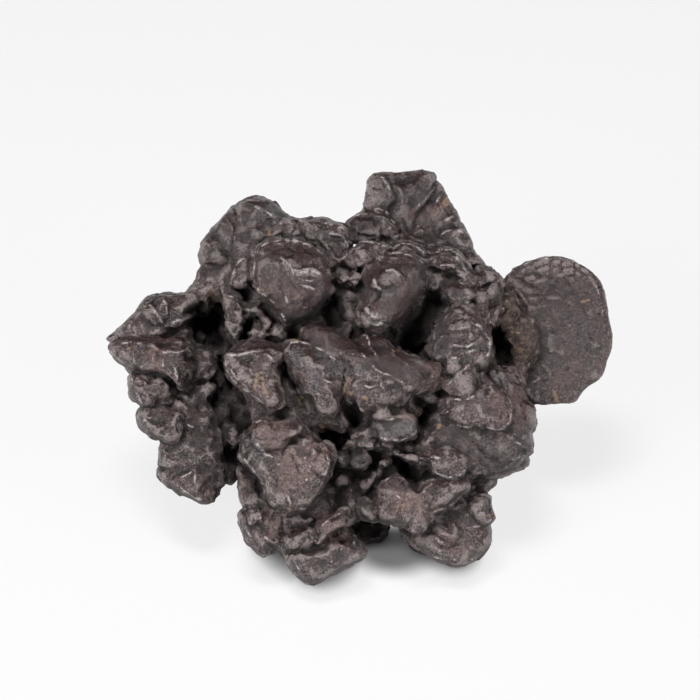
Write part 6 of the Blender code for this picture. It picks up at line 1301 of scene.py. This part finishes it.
def thin_out_unseen(stone):
    """Leaves TRIANGLES triangles, with the larger share of them on the side that the photograph shows."""
    places = points_of(stone.data)
    right, up, near = seen_plane(places)
    seen = seen_from_the_eye(right, up, near)
    drawn = np.abs(rims(right, up)) > 0.05
    for kind in [*MOTTLED_KINDS, *PLAIN_KINDS]:
        cover = cover_of(kind, right, up, SMALL_PATCH)
        drawn |= (cover > 0.05) & (cover < 0.95)
    hidden = seen <= 0.5
    group = stone.vertex_groups.new(name="thinned")
    for weight, chosen in ((1.0, hidden), (SEEN_WEIGHT, ~hidden & ~drawn), (DRAWN_WEIGHT, ~hidden & drawn)):
        group.add(np.flatnonzero(chosen).tolist(), weight, "REPLACE")
    thinning = stone.modifiers.new("thin_out", "DECIMATE")
    thinning.ratio = TRIANGLES / (2 * len(stone.data.polygons))
    thinning.use_collapse_triangulate = True
    thinning.vertex_group = group.name
    thinning.vertex_group_factor = SEEN_FACTOR
    stone.data = evaluated(stone)
    stone.modifiers.clear()


def roughen_finely(stone):
    """The swelling that the CAD model has too, and fine wrinkles that are fainter where the crust is smooth."""
    places = points_of(stone.data)
    right, up, near = seen_plane(places)
    even = np.maximum(cover_of("smooth", right, up), cover_of("even", right, up))
    calm = 1 - CALM * even * seen_from_the_eye(right, up, near)
    away_from_eye = Vector((0, math.cos(LOOK_DOWN), -math.sin(LOOK_DOWN)))
    moves = []
    for vertex, fine in zip(stone.data.vertices, calm):
        hidden = min(1, max(0, 2 * vertex.normal.dot(away_from_eye)))
        moves.append(vertex.normal * (swelling(vertex.co, hidden) + fine * wrinkles(vertex.co)))
    for vertex, move in zip(stone.data.vertices, moves):
        vertex.co += move


def drop_loose_bits(data):
    """Keeps the largest island of the mesh alone."""
    mesh = bmesh.new()
    mesh.from_mesh(data)
    islands = []
    reached = set()
    for start in mesh.verts:
        if start in reached:
            continue
        island = [start]
        reached.add(start)
        for vertex in island:
            for edge in vertex.link_edges:
                other = edge.other_vert(vertex)
                if other not in reached:
                    reached.add(other)
                    island.append(other)
        islands.append(island)
    islands.sort(key=len)
    for island in islands[:-1]:
        bmesh.ops.delete(mesh, geom=island, context="VERTS")
    mesh.to_mesh(data)
    mesh.free()


def points_of(data):
    places = np.empty(len(data.vertices) * 3, np.float32)
    data.vertices.foreach_get("co", places)
    return places.reshape(-1, 3).astype(np.float64)


def normals_of(data):
    ways = np.empty(len(data.vertices) * 3, np.float32)
    data.vertex_normals.foreach_get("vector", ways)
    return ways.reshape(-1, 3).astype(np.float64)


def set_points(data, places):
    data.vertices.foreach_set("co", places.astype(np.float32).ravel())
    data.update()


def seen_plane(places):
    """(right, up, near) of places, as the eye sees them."""
    high = places[:, 2] - MIDDLE_HEIGHT
    near = high * math.sin(LOOK_DOWN) - places[:, 1] * math.cos(LOOK_DOWN)
    up = high * math.cos(LOOK_DOWN) + places[:, 1] * math.sin(LOOK_DOWN)
    grow = 1 / (1 - near / EYE_DISTANCE)
    return places[:, 0] * grow, up * grow, near


def seen_from_the_eye(right, up, near):
    """1 for the places that nothing else covers, as the eye sees them, and 0 for those well behind others."""
    cell = 0.5
    column = np.floor((right - right.min()) / cell).astype(int)
    row = np.floor((up - up.min()) / cell).astype(int)
    front = np.full((column.max() + 1, row.max() + 1), -1e9)
    np.maximum.at(front, (column, row), near)
    return np.clip(1 - (front[column, row] - near - 1.5) / 1.5, 0, 1)


def distance_to_line(x, y, points):
    """How far each (x, y) is from a line through points."""
    nearest = np.full(len(x), 1e9)
    for (ax, ay), (bx, by) in zip(points, points[1:]):
        length = (bx - ax) ** 2 + (by - ay) ** 2
        along = np.clip(((x - ax) * (bx - ax) + (y - ay) * (by - ay)) / max(length, 1e-9), 0, 1)
        nearest = np.minimum(nearest, np.hypot(x - ax - along * (bx - ax), y - ay - along * (by - ay)))
    return nearest


def draw_strokes(data):
    """Raises the ridges and presses in the creases that the photograph shows."""
    places = points_of(data)
    ways = normals_of(data)
    right, up, near = seen_plane(places)
    seen = seen_from_the_eye(right, up, near)
    move = np.zeros(len(places))
    for stroke in STROKES:
        width = (STROKE_WIDTH if stroke.height > 0 or stroke.width > 0.7 else CREASE_WIDTH) * stroke.width
        close, away = close_to(right, up, stroke.points, 2.5 * width)
        height = STROKE_HEIGHT * stroke.height * fading(stroke, right[close], up[close])
        move[close] += height * np.exp(-((away / width) ** 2))
    set_points(data, places + ways * (move * seen)[:, None])


def dig_wells(data):
    """Pushes the floors of the deep gaps back, straight away from the eye."""
    places = points_of(data)
    right, up, near = seen_plane(places)
    seen = seen_from_the_eye(right, up, near)
    back = np.array((0, math.cos(LOOK_DOWN), -math.sin(LOOK_DOWN)))
    move = np.zeros(len(places))
    for well in WELLS:
        close, away = close_to(right, up, well.points, 2.5 * well.width)
        move[close] = np.maximum(move[close], well.depth * np.exp(-((away / well.width) ** 4)))
    set_points(data, places + back * (move * seen)[:, None])


def close_to(right, up, points, reach):
    """The numbers of the places that may be within reach of a line, and how far they are from it."""
    xs = [x for x, _ in points]
    ys = [y for _, y in points]
    close = np.flatnonzero((right > min(xs) - reach) & (right < max(xs) + reach)
                           & (up > min(ys) - reach) & (up < max(ys) + reach))
    return close, distance_to_line(right[close], up[close], points)


def cover_of(kind, right, up, widest=math.inf):
    """1 in the middle of the patches of a kind, 0.5 at their borders and 0 well outside."""
    cover = np.zeros(len(right))
    for patch in PATCHES:
        if patch.kind == kind and patch.size <= widest:
            soft = max(patch.size, SOFT_BORDER)
            close, away = close_to(right, up, patch.points, patch.size + soft)
            cover[close] = np.maximum(cover[close], np.clip(0.5 + 0.5 * (patch.size - away) / soft, 0, 1))
    return cover


def fading(stroke, right, up):
    """How strong a stroke is at some places: it swells and thins as it goes, and fades at its ends."""
    swell = 1 + STROKE_SWELL * np.sin(STROKE_TURN * (right + 0.4 * up)) * np.sin(STROKE_TURN * (0.8 * up - 0.3 * right))
    to_end = np.full(len(right), 1e9)
    for x, y in (stroke.points[0], stroke.points[-1]):
        to_end = np.minimum(to_end, np.hypot(right - x, up - y))
    return swell * np.clip(END_STRENGTH + to_end / END_FADE, 0, 1)


def rims(right, up):
    """Towards 1 along the raised strokes, and towards -1 along the sunk ones."""
    drawn = np.zeros(len(right))
    for stroke in STROKES:
        close, away = close_to(right, up, stroke.points, 3 * RIM_WIDTH)
        strength = stroke.height / FULL_RIM * fading(stroke, right[close], up[close])
        line = np.clip(strength, -1, 1) * np.exp(-((away / RIM_WIDTH) ** 2))
        stronger = np.abs(line) > np.abs(drawn[close])
        drawn[close[stronger]] = line[stronger]
    return drawn


def store(data, name, values):
    layer = data.attributes.new(name, "FLOAT", "POINT")
    layer.data.foreach_set("value", values.astype(np.float32))


def paint_patches(data):
    """Stores where each kind of patch is, and the lines along the strokes, which the material paints as highlights and
    shade.
    """
    places = points_of(data) / MM + np.array((BOX_MIDDLE[0], BOX_MIDDLE[1], 0))
    right, up, near = seen_plane(places)
    seen = seen_from_the_eye(right, up, near)
    for kind in [*MOTTLED_KINDS, *PLAIN_KINDS, "smooth"]:
        store(data, kind, cover_of(kind, right, up) * seen)
    store(data, "rim", rims(right, up) * seen)


def smoothed(values, starts, ends, rounds):
    """Each vertex's values, averaged over its neighbours, again and again."""
    count = len(values)
    links = np.bincount(starts, minlength=count) + np.bincount(ends, minlength=count)
    for _ in range(rounds):
        total = np.empty_like(values)
        for k in range(values.shape[1]):
            total[:, k] = (np.bincount(starts, values[ends, k], count)
                           + np.bincount(ends, values[starts, k], count))
        values = 0.5 * values + 0.5 * total / np.maximum(links, 1)[:, None]
    return values


def measure_shelter(data):
    """Stores how much of the open air each point is shut off from: 0 on an open face and 1 deep in a gap."""
    corners = [vertex.co for vertex in data.vertices]
    tree = BVHTree.FromPolygons(corners, [face.vertices for face in data.polygons])
    golden_angle = math.pi * (3 - math.sqrt(5))
    ways = []
    for i in range(SHELTER_WAYS):
        z = 1 - 2 * (i + 0.5) / SHELTER_WAYS
        flat = math.sqrt(1 - z * z)
        ways.append(Vector((math.cos(golden_angle * i) * flat, math.sin(golden_angle * i) * flat, z)))
    shelter = np.empty(len(corners), np.float32)
    for i, vertex in enumerate(data.vertices):
        start = vertex.co + vertex.normal * SHELTER_LIFT * MM
        ahead = [way for way in ways if way.dot(vertex.normal) > 0.15]
        blocked = sum(1 for way in ahead if tree.ray_cast(start, way, SHELTER_REACH * MM)[0])
        shelter[i] = blocked / max(1, len(ahead))
    store(data, "shelter", shelter)
    return shelter


def strew_rubble(data, shelter):
    """Crumbs and small lumps on the walls of the gaps, and where earth sticks to the stone."""
    places = points_of(data) / MM + np.array((BOX_MIDDLE[0], BOX_MIDDLE[1], 0))
    right, up, near = seen_plane(places)
    earthy = EARTH_RUBBLE * cover_of("earth", right, up) * seen_from_the_eye(right, up, near)
    amounts = np.maximum(np.clip(4 * (shelter - RUBBLE_FROM), 0, 1), earthy)
    for vertex, normal, amount in zip(data.vertices, normals_of(data), amounts):
        if amount > 0:
            place = vertex.co / MM
            lump = 1 - noise.voronoi(place / RUBBLE_WAVE)[0][0] * 2
            crumb = 1 - noise.voronoi(place / CRUMB_WAVE)[0][0] * 2
            vertex.co += Vector(normal) * MM * amount * (RUBBLE_HEIGHT * lump + CRUMB_HEIGHT * crumb)
            vertex.co.z = max(0.0, vertex.co.z)


def measure_relief(data):
    """Stores where thin ridges stand out, towards 1, and where thin creases sink in, towards -1."""
    places = points_of(data) / MM
    ways = normals_of(data)
    pairs = np.empty(len(data.edges) * 2, np.int32)
    data.edges.foreach_get("vertices", pairs)
    starts, ends = pairs[::2], pairs[1::2]
    around = smoothed(places, starts, ends, RELIEF_ROUNDS)
    relief = np.einsum("ij,ij->i", places - around, ways)[:, None]
    relief -= smoothed(relief, starts, ends, BROAD_ROUNDS)
    store(data, "edge", np.clip(relief[:, 0] / FULL_RELIEF, -1, 1))


def new_material(name):
    material = bpy.data.materials.new(name)
    material.use_nodes = True
    tree = material.node_tree
    return material, tree, tree.nodes["Principled BSDF"]


def put(tree, kind, settings=(), **inputs):
    """A new node with its settings, and its inputs set to values or linked to sockets."""
    node = tree.nodes.new("ShaderNode" + kind)
    for key, value in dict(settings).items():
        setattr(node, key, value)
    for key, value in inputs.items():
        socket = node.inputs[int(key[1:])] if key[0] == "n" and key[1:].isdigit() else node.inputs[key.replace("_", " ")]
        if isinstance(value, bpy.types.NodeSocket):
            tree.links.new(value, socket)
        else:
            socket.default_value = value
    return node


def mixed(tree, amount, first, second):
    """A colour between two, by an amount."""
    node = put(tree, "Mix", {"data_type": "RGBA"}, n0=amount, n6=first, n7=second)
    return node.outputs[2]


def ranged(tree, value, low, high, to_low=0.0, to_high=1.0):
    """A value carried from one range to another, and held inside it."""
    node = put(tree, "MapRange", {"interpolation_type": "SMOOTHSTEP"}, Value=value, n1=low, n2=high, n3=to_low, n4=to_high)
    return node.outputs[0]


def noise_of(tree, place, wave, detail=2.0, roughness=0.5, twist=0.0):
    """Cloudy noise, with the size of its blobs in millimetres."""
    node = put(tree, "TexNoise", Vector=place, Scale=1 / (wave * MM), Detail=detail, Roughness=roughness, Distortion=twist)
    return node.outputs["Fac"]


def with_kinds(tree, colour, ragged, kinds):
    """The colour with the patches of some kinds laid over it, which have ragged borders."""
    for kind, (tint, cover) in kinds.items():
        spread = put(tree, "Attribute", {"attribute_name": kind}).outputs["Fac"]
        border = put(tree, "Math", {"operation": "MULTIPLY_ADD"}, n0=ragged, n1=0.8, n2=spread).outputs[0]
        colour = mixed(tree, ranged(tree, border, 0.90, 1.10, 0, cover), colour, tint)
    return colour


def limonite():
    material, tree, surface = new_material("limonite_crust")
    place = tree.nodes.new("ShaderNodeTexCoord").outputs["Object"]
    edge = put(tree, "Attribute", {"attribute_name": "edge"}).outputs["Fac"]

    upward = put(tree, "SeparateXYZ", Vector=tree.nodes.new("ShaderNodeNewGeometry").outputs["Normal"]).outputs["Z"]
    shelter = put(tree, "Attribute", {"attribute_name": "shelter"}).outputs["Fac"]

    patches = ranged(tree, noise_of(tree, place, 9, 3), 0.38, 0.62)
    colour = mixed(tree, patches, (0.031, 0.022, 0.021, 1), (0.056, 0.034, 0.032, 1))
    # Painted shade: faces that look up are made darker and redder.
    shaded_top = ranged(tree, upward, 0.35, 0.85, 0, 0.9)
    colour = mixed(tree, shaded_top, colour, (0.028, 0.0135, 0.013, 1))
    # Painted shade: faces that look down are made darker.
    shaded_underside = ranged(tree, upward, -0.05, -0.65, 0, 0.75)
    colour = mixed(tree, shaded_underside, colour, (0.022, 0.0115, 0.0105, 1))
    # Thin ridges made lighter: partly wear, partly painted highlight.
    worn_and_highlit = ranged(tree, edge, 0.40, 1.0)
    colour = mixed(tree, worn_and_highlit, colour, (0.155, 0.127, 0.122, 1))
    ragged = noise_of(tree, place, 0.45, 4, 0.75)
    # The mottled kinds laid on; grey and pale are in part painted sheen.
    colour = with_kinds(tree, colour, ragged, MOTTLED_KINDS)
    fine = noise_of(tree, place, 0.38, 3, 0.85)
    smooth = put(tree, "Attribute", {"attribute_name": "smooth"}).outputs["Fac"]
    coarse = put(tree, "Math", {"operation": "MULTIPLY_ADD"}, n0=smooth, n1=-0.35, n2=1.0).outputs[0]
    mottled = ranged(tree, fine, 0.52, 0.59, 0, 0.85)
    mottled = put(tree, "Math", {"operation": "MULTIPLY"}, n0=mottled, n1=coarse).outputs[0]
    # Less of the light mottling where shade is painted on tops and undersides.
    unshaded = put(tree, "Math", {"operation": "MULTIPLY_ADD"}, n0=shaded_top, n1=-0.5, n2=1.0).outputs[0]
    unshaded = put(tree, "Math", {"operation": "MULTIPLY_ADD"}, n0=shaded_underside, n1=-0.5, n2=unshaded).outputs[0]
    mottled = put(tree, "Math", {"operation": "MULTIPLY"}, n0=mottled, n1=unshaded).outputs[0]
    colour = mixed(tree, mottled, colour, (0.175, 0.138, 0.132, 1))
    pitted = ranged(tree, fine, 0.46, 0.38)
    colour = mixed(tree, pitted, colour, (0.012, 0.008, 0.008, 1))
    # The plain kinds laid on, among them painted shade and a painted highlight.
    colour = with_kinds(tree, colour, ragged, PLAIN_KINDS)
    earth = put(tree, "Attribute", {"attribute_name": "earth"}).outputs["Fac"]
    hollow = put(tree, "Attribute", {"attribute_name": "hollow"}).outputs["Fac"]
    gritty = ranged(tree, noise_of(tree, place, 0.5, 3, 0.75), 0.50, 0.60, 0, 0.8)
    gritty = put(tree, "Math", {"operation": "MULTIPLY"}, n0=gritty, n1=earth).outputs[0]
    colour = mixed(tree, gritty, colour, (0.15, 0.098, 0.068, 1))
    # Painted highlight: a broken bright line along each raised stroke.
    rim = put(tree, "Attribute", {"attribute_name": "rim"}).outputs["Fac"]
    broken = put(tree, "Math", {"operation": "MULTIPLY_ADD"}, n0=noise_of(tree, place, 0.9, 4, 0.75), n1=1.8, n2=rim).outputs[0]
    colour = mixed(tree, ranged(tree, broken, 1.35, 1.75, 0, 0.9), colour, (0.32, 0.28, 0.275, 1))
    # Painted shade: a dark line along each sunk stroke.
    colour = mixed(tree, ranged(tree, rim, -0.3, -0.8, 0, 0.8), colour, (0.010, 0.007, 0.007, 1))
    # Painted shade in thin creases.
    crease_shade = ranged(tree, edge, -0.35, -1.0, 0, 0.85)
    colour = mixed(tree, crease_shade, colour, (0.008, 0.005, 0.005, 1))
    # Painted shade deep in the gaps, by how shut in they are.
    painted_gap_shade = ranged(tree, shelter, 0.42, 0.92, 0, 0.66)
    colour = mixed(tree, painted_gap_shade, colour, (0.020, 0.015, 0.0145, 1))
    tree.links.new(colour, surface.inputs["Base Color"])
    surface.inputs["IOR"].default_value = 1.5

    rough = ranged(tree, noise_of(tree, place, 3, 3), 0.3, 0.7, 0.18, 0.34)
    dull = ranged(tree, shelter, 0.25, 0.7)
    rough = put(tree, "Math", {"operation": "MULTIPLY_ADD"}, n0=dull, n1=0.40, n2=rough).outputs[0]
    rough = put(tree, "Math", {"operation": "MULTIPLY_ADD"}, n0=smooth, n1=-0.08, n2=rough).outputs[0]
    for loose in (earth, hollow, shaded_underside):
        rough = put(tree, "Math", {"operation": "MULTIPLY_ADD"}, n0=loose, n1=0.5, n2=rough).outputs[0]
    tree.links.new(rough, surface.inputs["Roughness"])

    clouds = noise_of(tree, place, 0.7, 6, 0.85)
    grains = put(tree, "TexVoronoi", Vector=place, Scale=1 / (0.5 * MM)).outputs["Distance"]
    rugged = put(tree, "Math", {"operation": "MULTIPLY_ADD"}, n0=grains, n1=0.35, n2=clouds).outputs[0]
    bump = put(tree, "Bump", Strength=1.0, Distance=0.23 * MM, Height=rugged)
    tree.links.new(bump.outputs[0], surface.inputs["Normal"])
    return material


def build_stone():
    mesh = stone_mesh()
    data = bpy.data.meshes.new("concretion_skin")
    mesh.to_mesh(data)
    stone = bpy.data.objects.new("concretion_skin", data)
    bpy.context.scene.collection.objects.link(stone)
    fuse(stone)
    dig_wells(stone.data)
    roughen_finely(stone)
    draw_strokes(stone.data)
    thin_out_unseen(stone)
    drop_loose_bits(stone.data)
    stand_on_ground(stone)
    stone.data.transform(Matrix.Scale(MM, 4) @ Matrix.Translation((-BOX_MIDDLE[0], -BOX_MIDDLE[1], 0)))
    strew_rubble(stone.data, measure_shelter(stone.data))
    measure_relief(stone.data)
    paint_patches(stone.data)
    stone.data.shade_smooth()
    stone.data.materials.append(limonite())
    return stone


def add_floor():
    """White paper that glows a little, as on a light table, so that shadows on it are faint; its glow is dimmed near
    the stone and under the arch between the feet, which paints shadow onto it.
    """
    bpy.ops.mesh.primitive_plane_add(size=6)
    floor = bpy.context.object
    floor.name = "floor"
    material, tree, surface = new_material("white_paper")
    surface.inputs["Base Color"].default_value = (0.12, 0.12, 0.12, 1)
    surface.inputs["Roughness"].default_value = 0.8
    surface.inputs["Specular IOR Level"].default_value = 0.1
    surface.inputs["Emission Strength"].default_value = FLOOR_GLOW
    open_air = put(tree, "AmbientOcclusion", {"samples": 16}, Distance=FLOOR_SHADE_REACH * MM)
    # Painted shadow: the paper's glow is dimmed where the stone shuts it in.
    glow_after_painted_shadow = ranged(tree, open_air.outputs["AO"], 0.0, 0.5)
    place = tree.nodes.new("ShaderNodeTexCoord").outputs["Object"]
    # Painted shadow on the paper under the arch between the feet.
    from_arch = put(tree, "VectorMath", {"operation": "DISTANCE"}, n0=place, n1=Vector(ARCH) * MM).outputs["Value"]
    glow_after_arch_shadow = ranged(tree, from_arch, 4 * MM, 10 * MM, ARCH_LIGHT, 1)
    glow_after_painted_shadow = put(tree, "Math", {"operation": "MULTIPLY"}, n0=glow_after_painted_shadow, n1=glow_after_arch_shadow).outputs[0]
    tree.links.new(mixed(tree, glow_after_painted_shadow, (0, 0, 0, 1), (1, 1, 1, 1)), surface.inputs["Emission Color"])
    floor.data.materials.append(material)


def add_light(name, place, target, size, watts, colour=(1, 1, 1)):
    lamp = bpy.data.lights.new(name, "AREA")
    lamp.shape = "RECTANGLE"
    lamp.size, lamp.size_y = size
    lamp.energy = watts
    lamp.color = colour
    holder = bpy.data.objects.new(name, lamp)
    holder.location = place
    holder.rotation_euler = (Vector(target) - Vector(place)).to_track_quat("-Z", "Y").to_euler()
    bpy.context.scene.collection.objects.link(holder)


def add_lights():
    middle = (0, 0, 0.025)
    add_light("softbox_left", (-0.42, -0.50, 0.34), middle, (0.30, 0.30), 4.0)
    add_light("softbox_right", (0.50, -0.38, 0.24), middle, (0.25, 0.30), 1.75)
    add_light("softbox_above", (-0.06, -0.16, 0.55), middle, (0.20, 0.14), 3.15)


def add_world():
    """White near the horizon, which lights the rims of the stone, and darker higher up."""
    world = bpy.data.worlds.new("studio")
    bpy.context.scene.world = world
    world.use_nodes = True
    tree = world.node_tree
    way = tree.nodes.new("ShaderNodeTexCoord").outputs["Generated"]
    height = put(tree, "SeparateXYZ", Vector=way).outputs["Z"]
    white = ranged(tree, height, 0.40, 0.10, 0.05, 0.5)
    tree.links.new(white, tree.nodes["Background"].inputs["Strength"])
    tree.nodes["Background"].inputs["Color"].default_value = (1, 1, 1, 1)


def add_camera():
    lens = bpy.data.cameras.new("camera")
    lens.sensor_width = 36
    lens.lens = lens.sensor_width * EYE_DISTANCE / VIEW_WIDTH
    lens.clip_start = 0.01
    lens.clip_end = 20
    camera = bpy.data.objects.new("camera", lens)
    camera.location = (from_view(0, 0, EYE_DISTANCE) - Vector((BOX_MIDDLE[0], BOX_MIDDLE[1], 0))) * MM
    camera.rotation_euler = (math.pi / 2 - LOOK_DOWN, 0, 0)
    bpy.context.scene.collection.objects.link(camera)
    bpy.context.scene.camera = camera


bpy.context.scene.view_settings.view_transform = "Standard"
add_camera()
add_world()
add_lights()
add_floor()
stone = build_stone()
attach(stone, "root")
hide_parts("concretion")
